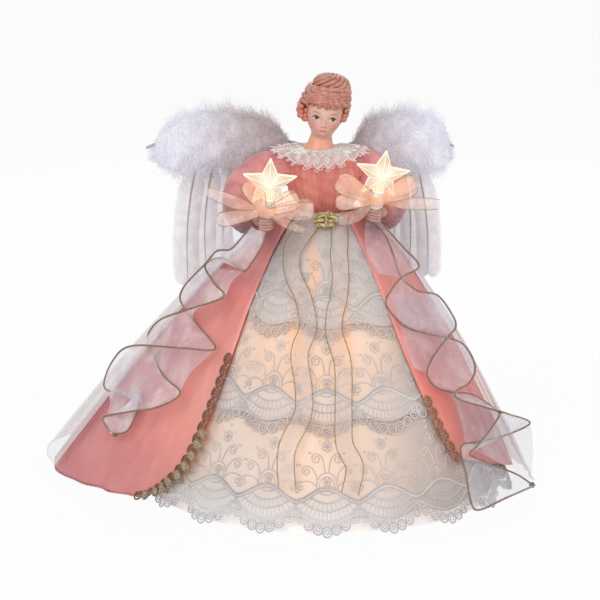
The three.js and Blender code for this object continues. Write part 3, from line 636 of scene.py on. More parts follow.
def sheerCloth(name, colour, clear, dense, bright=1.0, hung=False):
    # thin crisp cloth, denser along its creases; hung cloth is streaked along its folds
    look = Look(name)
    threads = look.net(.7)
    flat = look.laid() if hung else None
    crease = look.noise(16, 3, flat, (1, .06, 1) if hung else (1, 1, .5))
    streak = look.noise(5, 2, flat, (1, .04, 1) if hung else (1, 1, .25)).step(.55, .8)
    cover = (crease.step(.35, .75) * (dense - clear) + clear + streak * .12 + threads * .02).smaller(1.0)
    shade = look.mix(crease.step(.4, .7) * bright, colour, "ffffff")
    return look.finish(BaseColor=shade, Roughness=.35 + streak * .1, SheenWeight=.35, Alpha=cover,
                       Normal=look.bump(crease, 1.2, .6))


organzaLook = sheerCloth("organza", "f0ebf5", .42, .64, hung=True)
ribbonLook = sheerCloth("sheerRibbon", "e6d2c8", .2, .36, .3)

trainCut = {
    "hem": 3,
    "lifted": 9,        # rise of the hem on the thrown-out side
    "right": 78,        # degrees from the front to each side edge
    "left": 86,
    "columns": 320,
    "rows": 60,
    "around": 125,
    "rolledEdge": .35,
    "flat": (640, 260),
}


def addTrain(cut):
    lift = layerLifts["train"]
    start, end = math.radians(cut["right"]), 2 * math.pi - math.radians(cut["left"])
    angle = np.linspace(start, end, cut["columns"])[None]
    foot = cut["hem"] + cut["lifted"] * flare(angle)
    height = foot + (waistTop(lift) - .4 - foot) * np.linspace(0, 1, cut["rows"])[:, None]
    drop = dropAt(height, lift)
    ripple = 2.6 * drop * folds(31, angle + .2 * np.sin(4 * angle)) + overskirtOut(angle, height)
    ripple = ripple + rightEase(angle, drop)
    ripple = (ripple - 1.5 * drop) * (1 - .8 * flare(angle)) - 2 * flare(angle) * drop ** .5
    grid = onSkirt(angle, height, lift, trainWave, 1.2 + ripple)
    bundle = Bundle()
    bundle.sheet(grid, joined(angle * cut["around"], height))
    made = bundle.piece("trainOrganza", organzaLook, slot="organza", stands=["organza_train"])
    hem = Bundle()
    around = np.concatenate([grid[::-1, 0], grid[0], grid[:, -1]])
    hem.tube(evenPath(around, 420), cut["rolledEdge"])
    rolled = hem.piece("trainRolledHem", organzaLook, slot="organza")
    declareSheet(made, cut["flat"])


addTrain(trainCut)
print("gown: underskirt, overskirt and train hung")


laceDesign = {
    "pitch": 48,            # from fan to fan
    "hemRise": 9,           # cloth edge above the lowest picots
    "scallop": 4,
    # half width, rise of the ends, rise of the bottom, thread
    "fans": [(23, 19.5, 10.3, .8), (18.5, 23, 16.4, .66), (13.5, 26.5, 21.6, .62), (8.5, 29.6, 26.8, .52)],
    "ladders": [15, 11],    # rungs between the first three fans
    "ladderThread": .52,
    "garland": (25.5, 4.5, 1.4),     # middle height, swing, thread
    "garlandLine": (1.9, .4),        # rise over the garland, thread
    "picots": 7,
    "picot": 3.1,
    "picotStep": 6.1,
    "picotThreads": (.62, .4, .34),     # ring, inner ring, spokes
    "betweenFans": (-23.8, 23.8, -20.4, 20.4),
    "dome": [(-7.4, 30.4), (-6.9, 34.8), (-4.4, 38.8), (0, 40.6), (4.4, 38.8), (6.9, 34.8), (7.4, 30.4)],
    "domeFoot": (0, 31.5),
    "domeThreads": (.42, .3),
    "flowers": [(35, 5, 1.25), (57, 6, 1.5)],       # rise, petals, size
    "petalThread": .36,
    "scrollThread": .44,
    # one side's stems, and the curls at their ends: middle, radius, turns
    "stems": [
        [(1.3, 40.6), (1.9, 45), (3.6, 50.2), (7.4, 52.6)],
        [(6.8, 35.6), (8.2, 40), (10.8, 43.4), (14.4, 44.6)],
        [(7.4, 31.8), (10.6, 34.2), (14.6, 35), (18.6, 33.9)],
    ],
    "curls": [((7.4, 49.1), 3.5, 1.5), ((14.4, 41.3), 3.3, 1.5), ((18.6, 31), 2.9, 1.4)],
    # satin-stitch dots: across, up, half width, half height
    "middleDots": [(0, 35, .9, .9), (0, 57, 1, 1), (0, 64.4, 1.2, 1.5), (0, 68.3, 1, 1.3),
                   (0, 71.8, .8, 1.1)],
    "sideDots": [(11.9, 52.6, 1, 1.1), (18.9, 44.6, .9, 1), (22.6, 34.4, .8, .9), (5, 60, .7, .8),
                 (22, 27.6, .8, .9)],
    "dotThick": .45,
}
tierCuts = {
    "lower": {"hem": 0, "top": 84, "columns": 200, "rows": 46},
    "middle": {"hem": 62, "top": 145, "columns": 160, "rows": 46},
    "upper": {"hem": 123, "top": None, "columns": 120, "rows": 46},
}


def tierOut(angle, height, lift):
    drop = dropAt(height, lift)
    flip = 1.8 * bell(height, 9)      # the lowest lace stands off the foot
    near = bell(angle - leftEdge(height), .14) + bell(angle - rightEdge(height), .14)
    meet = ((layerLifts["upper"] - lift) * .5 + 1.1 * drop) * near     # rises to the gown's front edges
    return 1.15 + flip + meet + .9 * drop * folds(26, angle + .2 * np.sin(7 * angle))


def tierReach(cut, lift):
    return float(skirtRadius(np.array(0.0), np.array(float(cut["hem"])), lift, tierWave))


def laceRise(across):
    # the cloth's own edge, above the lowest picots
    return laceDesign["hemRise"] + laceDesign["scallop"] * np.sin(math.pi * across / laceDesign["pitch"]) ** 2


def tierCloth():
    look = Look("tierCloth")
    u, v = look.cloth()
    middle, swing = laceDesign["garland"][:2]
    garland = (u * (2 * math.pi / laceDesign["pitch"]) + math.pi / 2).sine() * swing + middle
    net = 1 - (v - garland).step(-1.5, .5)
    mesh = look.net(1.1)
    drape = look.noise(28, 3, stretch=(1, 1, .4))
    x, _, z = look.axes()
    dim = (1 - x.step(25, 75) * .7) * (1 - z.step(118, 140) * .85)
    glow = lampGlow(look, 24) * dim
    wide = lampGlow(look, 48) * dim
    # light that leaks between the ribbons from the lamps inside
    leak = (x + 9).bell(5) * (z - 168).bell(18) + (x - 13).bell(6) * (z - 134).bell(20)
    leak = leak + (x + 22).bell(5) * (z - 132).bell(18)
    leak = (leak + (x + 12).bell(38) * (z - 98).bell(26) * .5).smaller(1.0)
    # painted shade greys the cloth to the right and at the far left; greyer on the upper tier; the hem at the
    # lower left is painted lighter, painted light over its shade
    colour = look.coats(look.mix(drape.step(.3, .7), "dccfc8", "ebdfd8"),
                        (x.step(15, 70) * .8 + (0 - x).step(60, 115) * .35, "aea6a5"),
                        (z.step(118, 140) * .7, "cfcac8"),
                        (wide * .6, "fbd8bd"),
                        (leak * .75, "ffbf97"),
                        ((1 - z.step(9, 26)) * (1 - x.step(15, 60)) * .95, "f9f9fc"),
                        (net * (mesh * .3 + .5) * (1 - x.step(20, 70) * .7), "dcd7d5"))
    light = look.shine(glow * .2 + wide * .04 + leak * .1, "ffb36a")
    return look.finish(BaseColor=colour, Roughness=drape * .2 + .5, SheenWeight=.2, EmissionColor=light,
                       Normal=look.bump(mesh, .05, .6, look.bump(drape, 1.2, .6)))


def laceThread():
    look = Look("laceThread")
    twist = look.noise(1.2, 2)
    x, _, z = look.axes()
    glow = lampGlow(look, 34)
    # threads painted lighter to the right above the lowest tier and at the hem on the left, painted light;
    # the lowest threads are darker grey-blue
    colour = look.coats(look.mix(look.noise(24, 2).step(.35, .65), "c6c1c2", "d6d2d2"),
                        (twist.step(.5, .8) * .3, "afa8a8"),
                        (x.step(25, 80) * z.step(30, 60) * .5, "e6e4e4"),
                        (glow * .25, "e8c8b0"),
                        ((1 - z.step(8, 22)) * (1 - x.step(15, 60)) * .8, "e9e8eb"),
                        ((1 - z.step(7, 10)) * .8, "c6c5cc"))
    return look.finish(BaseColor=colour, Roughness=.62, SheenWeight=.2,
                       EmissionColor=look.shine(glow * .1, "ffb469"), Normal=look.bump(twist, .2))


tierClothLook = tierCloth()
laceThreadLook = laceThread()


def spiral(middle, radius, turns, count=26):
    share = np.linspace(0, 1, count)
    turn = math.pi / 2 - share * turns * 2 * math.pi
    reach = radius * (1 - .82 * share)
    return np.stack([middle[0] + reach * np.cos(turn), middle[1] + reach * np.sin(turn)], 1)


def fanLine(number, across):
    half, ends, bottom = laceDesign["fans"][number][:3]
    return bottom + (ends - bottom) * (across / half) ** 2


def laceMotif(design):
    # flat drawing of one repeat: (points across and up, thread radius, closed)
    lines = []

    def draw(points, thread, closed=False):
        lines.append((np.array(points, float), thread, closed))

    for number, (half, *_, thread) in enumerate(design["fans"]):
        across = np.linspace(-half, half, 33)
        draw(joined(across, fanLine(number, across)), thread)
    for number, count in enumerate(design["ladders"]):
        low, high = [design["fans"][number + k][0] * .96 for k in (0, 1)]
        for share in np.linspace(-1, 1, count):
            foot = (share * low, fanLine(number, share * low))
            draw([foot, (share * high, fanLine(number + 1, share * high))], design["ladderThread"])
    middle, swing, thread = design["garland"]
    across = np.linspace(-design["pitch"] / 2, design["pitch"] / 2, 41)
    for rise, girth in ((0, thread), design["garlandLine"]):
        draw(joined(across, middle + rise + swing * np.cos(2 * math.pi * across / design["pitch"])), girth)
    circle = joined(np.cos(fullTurn(16)), np.sin(fullTurn(16)))
    ringThread, innerThread, spokeThread = design["picotThreads"]
    for number in range(design["picots"]):    # picots on spokes under the fan
        fromMiddle = number - (design["picots"] - 1) / 2
        place = fromMiddle * design["picotStep"]
        size = design["picot"] * (1 - .035 * abs(fromMiddle))
        edge = fanLine(0, place)
        hang = 3.2 - .5 * abs(fromMiddle)
        spot = np.array([place * 1.05, edge - hang - size])
        draw(spot + circle * size, ringThread, True)
        draw(spot + circle * size * .45, innerThread, True)
        for lean in (-1.3, 1.3):
            draw([[place + lean, edge], [place * 1.05 + lean * .6, edge - hang + .2]], spokeThread)
    for place in design["betweenFans"]:
        draw(np.array([place, fanLine(0, min(abs(place), 22.5)) - 3.0]) + circle * 2.2, .5, True)
    dome = smoothPath(design["dome"], 6)
    draw(dome, design["domeThreads"][0])
    draw(np.array(design["domeFoot"]) + (dome - design["domeFoot"]) * .74, design["domeThreads"][1])
    for rise, count, size in design["flowers"]:
        for petal in range(count):
            lean = 2 * math.pi * petal / count + math.pi / 2
            spot = np.array([0, rise]) + 1.55 * size * np.array([math.cos(lean), math.sin(lean)])
            draw(spot + circle * size * .8, design["petalThread"], True)
    for side in (-1, 1):
        scrolls = [smoothPath(stem, 6) for stem in design["stems"]]
        scrolls += [spiral(*curl) for curl in design["curls"]]
        for scroll in scrolls:
            draw(scroll * [side, 1], design["scrollThread"])
    return lines


def laceDots(design):
    flipped = [(side * across, *rest) for side in (-1, 1) for across, *rest in design["sideDots"]]
    return design["middleDots"] + flipped


def motifCentres(cut, lift):
    reach = tierReach(cut, lift)
    return [number * laceDesign["pitch"] / reach for number in range(-5, 6)]


def tierSpot(cut, lift, centre, flat, out):
    # a point of the flat drawing, laid on the tier
    height = cut["hem"] + flat[:, 1]
    reach = skirtRadius(np.full(len(flat), centre), height, lift, tierWave)
    angle = centre + flat[:, 0] / reach
    return onSkirt(angle, height, lift, tierWave, tierOut(angle, height, lift) + out), angle, height


def openRuns(inside):
    runs = []
    start = None
    for place, kept in enumerate(list(inside) + [False]):
        if kept and start is None:
            start = place
        if not kept and start is not None:
            if place - start > 1:
                runs.append((start, place))
            start = None
    return runs


def tierEnd(name, height):
    # the lowest tier goes on round the right side, where the gown is caught up
    return rightEdge(height) + (name == "lower") * math.radians(56) * np.clip((60 - height) / 18, 0, 1)


def addTier(name, cut):
    lift = layerLifts[name]
    top = cut["top"] or waistTop(lift) - .3
    reach = tierReach(cut, lift)
    share = np.linspace(0, 1, cut["columns"])[None]
    rise = np.linspace(0, 1, cut["rows"])[:, None] ** 1.15
    height = cut["hem"] + (top - cut["hem"]) * rise
    tuck = math.radians(5)      # the cloth runs on under the gown
    angle = leftEdge(height) - tuck + (tierEnd(name, height) - leftEdge(height) + 2 * tuck) * share
    height = height + laceRise(angle * reach) * (1 - rise) ** 3
    grid = onSkirt(angle, height, lift, tierWave, tierOut(angle, height, lift))
    cloth = Bundle()
    cloth.sheet(grid, joined(angle * reach, height - cut["hem"]))
    made = cloth.piece(f"laceTier_{name}", tierClothLook, slot="white_lace", stands=[f"lace_tier_{name}"])
    threads = Bundle()
    margin = math.radians(1.2)
    for centre in motifCentres(cut, lift):
        for line, radius, closed in laceMotif(laceDesign):
            spots, angles, heights = tierSpot(cut, lift, centre, line, .25)
            inside = (angles > leftEdge(heights) - margin) & (angles < tierEnd(name, heights) + margin)
            inside = inside & (heights < top - 1)
            outward = skirtSpot(angles, 0 * heights, 1 + 0 * angles)
            if closed and inside.all():
                threads.tube(spots, radius, 5, closed=True, ups=outward)
            elif not closed:
                for start, end in openRuns(inside):
                    threads.tube(spots[start:end], radius, 5, ups=outward[start:end])
        for across, up, halfWidth, halfHeight in laceDots(laceDesign):
            spots, angles, heights = tierSpot(cut, lift, centre, np.array([[across, up]]), .3)
            if leftEdge(heights[0]) < angles[0] < tierEnd(name, heights[0]) and heights[0] < top - 2:
                outward = skirtSpot(angles, 0 * heights, np.ones(1))[0]
                sideways = np.array([math.cos(angles[0]), math.sin(angles[0]), 0])
                size = (halfWidth, halfHeight, laceDesign["dotThick"])
                threads.bead(spots[0], sideways, np.array([0, 0, 1.0]), outward, size)
    trim = threads.piece(f"laceThreads_{name}", laceThreadLook, slot="white_lace")
    width = float(np.abs(np.diff(angle[0])).sum() * reach)
    # a quarter more than the height, taken up by the gathers
    declareSheet(made, (width, 1.25 * (top - cut["hem"])))


for tierName, tierCut in tierCuts.items():
    addTier(tierName, tierCut)
print("gown: lace tiers sewn")


def twistedCord(bundle, path, strand, turnLength, strands=2, closed=False, sides=5, spacing=.55):
    # strands laid round each other along the path
    path = np.vstack([path, path[:1]]) if closed else np.asarray(path, float)
    length = float(stepLengths(path).sum())
    if closed:
        fine = evenPath(path, max(12, int(length / spacing)) + 1)[:-1]
    else:
        fine = evenPath(path, max(8, int(length / spacing)))
    across, up = pathFrames(fine, closed)[1:]
    turns = max(1, round(length / turnLength))
    share = np.linspace(0, 1, len(fine), endpoint=not closed)
    for number in range(strands):
        turn = 2 * math.pi * (share * turns + number / strands)[:, None]
        laid = fine + (across * np.cos(turn) + up * np.sin(turn)) * strand * .82
        bundle.tube(laid, strand, sides, closed=closed)


def metalThread(name, dark, light, mottle=.9):
    # yarn wrapped with metal thread, dull in the grooves
    look = Look(name)
    grain = look.noise(mottle, 3)
    colour = look.coats(look.mix(grain.step(.35, .7), dark, light),
                        (look.noise(9, 2).step(.55, .8) * .4, dark))
    return look.finish(BaseColor=colour, Metallic=grain.step(.4, .8) * .35, Roughness=.62 - grain * .25,
                       Normal=look.bump(grain, .15))


cordLook = metalThread("bronzeCord", "77614f", "ab947c")
gimpLooks = {
    "left": metalThread("gimpRings", "6b4636", "a67b60"),
    "right": metalThread("gimpBraid", "7d5543", "cfa78c"),
}
gimpKnotLook = metalThread("gimpKnots", "83735a", "c4b596")
goldEdgeLook = metalThread("goldEdge", "857049", "bba274", .6)
rosetteLook = metalThread("rosetteBraid", "a38d55", "ead9a6", 2.2)

gimpTrim = {
    "step": 9,
    "ring": (3.2, .48),         # radius, strand
    "knot": (4.1, 2.6, 1.6),    # half sizes
    "wraps": 7,                 # turns of thread round each knot
    "wrap": .68,
    "inset": .6,                # from the gown's edge
    "knotsBelow": {"left": 58, "right": 0},
    "feet": {"left": 5.2, "right": 43},
    "tops": {"left": 112, "right": 84},
}


def addGimp(side, trim):
    # rings and wound knots up the gown's front edge
    away = signs[side]
    height = np.linspace(trim["feet"][side], trim["tops"][side], 200)
    edge = leftEdge(height) if side == "left" else rightEdge(height)
    angle = edge + away * trim["inset"] / skirtRadius(edge, height, layerLifts["gimp"], overskirtWave)
    reach = skirtRadius(angle, height, layerLifts["gimp"], overskirtWave)
    reach = reach - overskirtCut["edgePull"] * dropAt(height)
    spots = skirtSpot(angle, height, reach + 1.2 + overskirtOut(angle, height))
    length = runLengths(spots)
    rings, knots = Bundle(), Bundle()
    radius, strand = trim["ring"]
    halfLong, halfWide, halfThick = trim["knot"]
    for number in range(int(length[-1] / trim["step"]) + 1):
        place = np.interp(number * trim["step"], length, np.arange(len(length)))
        low, high = int(place), min(int(place) + 1, len(spots) - 1)
        middle = spots[low] + (spots[high] - spots[low]) * (place - low)
        along = unit(spots[min(low + 3, len(spots) - 1)] - spots[max(low - 3, 0)])
        outward = np.array([math.sin(angle[low]), -math.cos(angle[low]), .55])
        outward = unit(outward - along * np.dot(outward, along))
        sideways = np.cross(outward, along)
        turn = fullTurn(24)[:, None]
        loop = middle + along * np.cos(turn) * radius * 1.2 + sideways * np.sin(turn) * radius
        twistedCord(rings, loop + outward * (.35 * np.cos(turn)), strand, 1.9, 2, True)
        twistedCord(rings, middle + (loop - middle) * .42 + outward * .2, strand * .8, 1.6, 2, True)
        if middle[2] < trim["knotsBelow"][side]:
            inward = -away * unit(np.array([math.cos(angle[low]), math.sin(angle[low]), 0]))
            spot = middle + along * trim["step"] / 2 + inward * 4.4 + outward * .3
            lean = unit(along * .45 - inward * .8)
            acrossKnot = np.cross(outward, lean)
            turn = fullTurn(14)[:, None]
            for share in np.linspace(-.8, .8, trim["wraps"]):
                girth = math.sqrt(1 - share ** 2)
                wrap = spot + lean * share * halfLong
                wrap = wrap + acrossKnot * np.cos(turn) * halfWide * girth
                wrap = wrap + outward * np.sin(turn) * halfThick * girth
                knots.tube(wrap, trim["wrap"], closed=True)
    rings.piece(f"gimpRings_{side}", gimpLooks[side], slot="bronze_gimp", stands=[f"gimp_braid_{side}"])
    if knots.count:
        knots.piece(f"gimpKnots_{side}", gimpKnotLook, slot="bronze_gimp")


for braidSide in signs:
    addGimp(braidSide, gimpTrim)

streamerCut = {
    "width": 12,
    # rise from the waist, side
    "left": [[2, -8], [-13, -19.5], [-22, -24.5], [-36, -24], [-49, -17], [-58, -14], [-70, -13.6],
             [-87, -19], [-120, -16], [-146, -28], [-170, -28]],
    "right": [[2, 10], [-14, 10], [-22, 9], [-36, 10.5], [-48, 9], [-59, 6], [-72, 5.5], [-89, 11],
              [-106, 12], [-140, 12], [-156, 19], [-174, 16]],
    "edge": .38,
    "phase": {"left": 0, "right": 1.5},     # of the ripples along each ribbon
    "run": 185,
    "flat": (12, 200),
}


def overTiers(angle, drop):
    return 2 * drop


def addStreamer(side, cut):
    route = smoothPath([(x, gownShape["waistHeight"] + rise) for rise, x in cut[side]], 24)
    route = evenPath(route, 150)
    tangent = unit(np.gradient(route, axis=0))
    normal = np.stack([tangent[:, 1], -tangent[:, 0]], 1) * -1
    shares = np.linspace(-.5, .5, 9)
    flatSpots = route[:, None] + normal[:, None] * (shares * cut["width"])[None, :, None]
    across, height = flatSpots[..., 0], flatSpots[..., 1]
    lift = layerLifts["overskirt"]
    angle = np.zeros_like(across)
    for _ in range(12):     # angle at which the skirt is this far across
        reach = skirtRadius(angle, height, lift, overTiers)
        angle = np.arcsin(np.clip(across / np.maximum(reach + 2, 4), -.98, .98))
    along = np.linspace(0, 1, len(route))[:, None]
    ripple = 1.6 * np.sin(along * 21 + cut["phase"][side]) ** 2
    ripple = ripple + 1.1 * np.cos(shares * 5)[None] * np.sin(along * 33)
    grid = onSkirt(angle, height, lift, overTiers, 1.9 + np.maximum(ripple, 0))
    length = np.linspace(0, cut["run"], len(route))
    cloth = Bundle()
    cloth.sheet(grid, joined(shares[None] * cut["width"] + 20, length[:, None]))
    made = cloth.piece(f"streamer_{side}", ribbonLook, slot="ribbon", stands=[f"ribbon_streamer_{side}"])
    edges = Bundle()
    for column in (0, -1):
        edges.tube(grid[:, column], cut["edge"])
    wires = edges.piece(f"streamerEdges_{side}", goldEdgeLook, slot="ribbon")
    declareSheet(made, cut["flat"])


rosetteForm = {
    "wide": 9.2,
    # rise, share of the width, sag of each flat roll
    "rolls": [(4.2, .74, 1.2), (1.6, 1, .5), (-1.2, .96, -.5), (-3.8, .72, -1.3)],
    "thick": (.775, .6875),     # strands of the front and the back of each roll
    "wrap": (4.4, .6),          # half height, strand
    "lean": 50,
    "rise": 203,
}


def atWaistFront():
    # how far the skirt stands in front of the axis just under the rosette
    height = np.array(rosetteForm["rise"] - 4.0)
    return float(skirtRadius(np.array(0.0), height, layerLifts["overskirt"], overTiers))


def addRosette(form):
    # rolls of gold braid laid over one another and drawn together in the middle
    lean = math.radians(form["lean"])
    outward = np.array([0, -math.sin(lean), math.cos(lean)])
    upward = np.array([0, math.cos(lean), math.sin(lean)])
    middle = np.array([0, -atWaistFront() - 3, form["rise"]])
    bundle = Bundle()
    across = np.linspace(-1, 1, 40)[:, None]
    for number, (rise, share, sag) in enumerate(form["rolls"]):
        wave = .5 * np.sin(across * 5 + number * 1.7)
        path = middle + np.array([1.0, 0, 0]) * across * form["wide"] * share
        path = path + upward * (rise * (1 - .35 * bell(across, .16)) + sag * (1 - across ** 2) + wave)
        path = path + outward * (2.6 - 2.2 * across ** 2 - .08 * rise ** 2)
        back = path[::-1] - outward * 2.1 + upward * .5
        for run, strand in zip((path, back), form["thick"]):
            twistedCord(bundle, run, strand, 5, 3, False, 8)
    half, strand = form["wrap"]
    wrap = middle + upward * np.linspace(-half, half, 16)[:, None]
    wrap = wrap + outward * (1.6 + 2.2 * np.cos(np.linspace(-1.3, 1.3, 16)))[:, None]
    twistedCord(bundle, wrap, strand, 2.6, 3)
    bundle.piece("waistRosette", rosetteLook, slot="gold_rosette", stands=["waist_rosette"])


addRosette(rosetteForm)
for streamerSide in signs:
    addStreamer(streamerSide, streamerCut)
print("gown: gimp, streamers and rosette laid")


# Photograph pixels of the two corded edges, station by station down each strip, then how far the first edge
# leads the second (1 in front, -1 behind) and the strip's distance off the gown.
mantleStations = {
    "left": [
        (252, 226, 266, 232, .3, 52), (244, 235, 262, 246, .5, 46), (231, 249, 252, 262, .7, 40),
        (217, 251, 243, 271, .8, 34), (205, 264, 223, 258, 1, 29), (186, 284, 205, 265, .5, 25),
        (180, 297, 214, 283, 0, 21), (185, 309, 223, 297, -.7, 18), (200, 328, 186, 310, -1, 17),
        (215, 349, 160, 320, 0, 16), (181, 348, 148, 335, .8, 17), (131, 346, 151, 348, 1, 17),
        (112, 362, 163, 375, .3, 16), (104, 386, 180, 393, -.1, 15), (117, 392, 158, 407, -.7, 15),
        (138, 392, 128, 412, -1, 15), (138, 408, 104, 417, -.3, 15), (128, 430, 107, 427, 0, 15),
        (115, 434, 113, 433, 0, 15),
    ],
    "right": [
        (372, 218, 384, 226, -.3, 42), (385, 235, 403, 247, -.5, 34), (392, 251, 419, 266, -.8, 28),
        (401, 277, 402, 277, -1, 22), (418, 291, 392, 289, -.7, 18), (437, 295, 386, 304, 0, 16),
        (450, 311, 402, 324, .6, 16), (456, 326, 424, 333, .9, 16), (447, 338, 444, 337, 1, 16),
        (433, 357, 464, 345, .6, 15), (427, 374, 475, 366, 0, 15), (436, 387, 470, 382, -.7, 15),
        (452, 392, 456, 391, -1, 15), (473, 395, 459, 399, -.8, 16), (498, 411, 488, 408, -.8, 18),
        (499, 416, 508, 414, .6, 20), (490, 430, 530, 423, .8, 22), (478, 445, 503, 436, .8, 22),
        (470, 453, 478, 442, .8, 20), (474, 457, 461, 447, .3, 18), (490, 464, 466, 474, 0, 18),
        (507, 470, 470, 498, 0, 19), (520, 476, 478, 510, 0, 20), (530, 483, 508, 497, 0, 21),
        (532, 485, 531, 487, 0, 21),
    ],
}
mantleForm = {
    "twist": 10,        # half depth of the twist
    "columns": 13,
    "bow": 3,
    "strand": .47,
    "turn": 3,
    "knot": 1.7,
    "flat": {"left": (58, 560), "right": (58, 620)},
    # single layers seen between the cords: one side, the other side, distance off the gown
    "layers": {
        "left": [
            ([(227, 222), (221, 240), (211, 258)], [(262, 226), (250, 244), (238, 262)], 16),
            ([(205, 266), (212, 280), (222, 294)], [(243, 271), (232, 282), (225, 297)], 14),
            ([(150, 345), (152, 361), (160, 375), (172, 387)],
             [(215, 350), (202, 362), (189, 375), (180, 393)], 10),
            ([(104, 389), (110, 400), (107, 416)], [(138, 390), (142, 400), (138, 411)], 10),
        ],
        "right": [
            ([(365, 222), (366, 249), (378, 273)], [(378, 225), (391, 250), (401, 278)], 18),
            ([(391, 293), (398, 316), (404, 342), (414, 368)],
             [(437, 296), (456, 326), (447, 337), (428, 375)], 9),
            ([(452, 392), (457, 408), (462, 425), (466, 446)],
             [(498, 409), (528, 423), (533, 447), (531, 481)], 13),
        ],
    },
}


def gownEnvelope(angle, drop):
    return 8 * drop + thrownOut(angle, drop)


def clearOfGown(points, gap):
    # moves points out until they clear the gown by the gap
    points = np.array(points, float)
    angle = np.arctan2(points[..., 0], -points[..., 1])
    reach = np.hypot(points[..., 0], points[..., 1])
    height = np.clip(points[..., 2], 0, None)
    least = skirtRadius(angle, height, layerLifts["overskirt"], overskirtWave) + 1.7
    least = least + overskirtOut(angle, height) + gap
    grow = np.maximum(1, least / np.maximum(reach, 1e-6))
    points[..., 0] *= grow
    points[..., 1] *= grow
    return points


def seenOffGown(across, down, off):
    # where a pixel's line of sight comes within this distance of the gown, or nearest to it
    ray = sightLine(across, down)
    points = eyePoint + ray * np.linspace(1250, 1650, 1200)[:, None]
    angle = np.arctan2(points[:, 0], -points[:, 1])
    height = np.clip(points[:, 2], 0, waistTop(7))
    reach = skirtRadius(angle, height, layerLifts["overskirt"], gownEnvelope)
    gap = np.hypot(points[:, 0], points[:, 1]) - reach - off
    hits = np.nonzero(gap <= 0)[0]
    return points[hits[0]] if len(hits) else points[np.argmin(gap)]


def addMantle(side, stations, form):
    first, second = [], []
    for firstAcross, firstDown, secondAcross, secondDown, lead, off in stations:
        first.append(seenOffGown(firstAcross, firstDown, off + form["twist"] * lead))
        second.append(seenOffGown(secondAcross, secondDown, off - form["twist"] * lead))
    first = clearOfGown(smoothPath(first, 10), 2.2)
    second = clearOfGown(smoothPath(second, 10), 2.2)
    share = np.linspace(0, 1, form["columns"])[None, :, None]
    grid = first[:, None] * (1 - share) + second[:, None] * share
    outward = unit(grid * [1, 1, 0])
    grid = clearOfGown(grid + outward * form["bow"] * np.sin(math.pi * share), 1.6)
    grid[:, 0], grid[:, -1] = first, second
    along = np.linspace(0, form["flat"][side][1], len(grid))[:, None]
    cloth = Bundle()
    cloth.sheet(grid, joined(share[..., 0] * form["flat"][side][0] + 5, along))
    for outer, inner, off in form["layers"][side]:
        outer, inner = [smoothPath([seenOffGown(*spot, off) for spot in line], 10) for line in (outer, inner)]
        layer = outer[:, None] * (1 - share) + inner[:, None] * share
        layer = layer + unit(layer * [1, 1, 0]) * form["bow"] * np.sin(math.pi * share)
        flat = joined(share[..., 0] * 40 + 5, np.linspace(0, 60, len(layer))[:, None])
        cloth.sheet(clearOfGown(layer, 1.2), flat)
    made = cloth.piece(f"mantle_{side}_organza", mantleLooks[side], slot="organza", stands=[f"mantle_{side}"])
    cords = Bundle()
    for edge in (first, second):
        twistedCord(cords, edge, form["strand"], form["turn"], 2, False, 6)
    turn = fullTurn(14)[:, None]
    for tilt in (0, math.pi / 3, 2 * math.pi / 3):       # knot that ties the two cords off
        level = np.array([math.cos(tilt), 0, math.sin(tilt)])
        loop = first[-1] + level * np.cos(turn) * form["knot"]
        loop = loop + np.array([0, 1.0, 0]) * np.sin(turn) * form["knot"]
        twistedCord(cords, loop, .5, 2.6, 2, True)
    edging = cords.piece(f"mantleCords_{side}", cordLook, slot="bronze_gimp")
    declareSheet(made, form["flat"][side])


# one organza in two copies: the left strip painted paler and whiter on its creases as lit, the right one
# darker as in painted shade
mantleLooks = {
    "left": sheerCloth("mantleOrganzaLitLeft", "e6e1ec", .34, .54),
    "right": sheerCloth("mantleOrganzaShadedRight", "d0ccd6", .3, .46, .4),
}
for mantleSide in signs:
    addMantle(mantleSide, mantleStations[mantleSide], mantleForm)
print("mantles: twisted and corded")


bodiceCut = {
    # rise from the waist, half width, half depth of the figure under the cloth
    "sections": [[-2, 11, 10], [6, 17, 11], [18, 25, 14], [30, 26.5, 15.5], [38, 25, 14], [43, 20, 12.5],
                 [47, 11.5, 10]],
    "low": 1,
    "high": 45,
    "grow": 2.3,
    "columns": 220,
    "rows": 60,
    "gathers": 38,
    "around": 22,
    "stitched": (2, 48),        # rows with running stitches that hold the gathers
    "flat": (165, 60),
}


def bodiceSatin():
    look = Look("bodiceSatin")
    drape = look.noise(10, 3, stretch=(1, 1, .4))
    glow = starGlow(look, 35)
    colour = look.coats(look.mix(drape.step(.35, .7), "d67b74", "e99288"), (glow * .8, "f79e76"))
    wrinkles = look.noise(4, 3, stretch=(1, 1, .3))
    return satin(look, drape, colour, look.shine(glow * .4, "ff8436"), wrinkles, SheenWeight=.25)


def sectionAt(sections, rise):
    sections = np.array(sections, float)
    return [np.interp(rise, sections[:, 0], sections[:, k]) for k in range(1, sections.shape[1])]


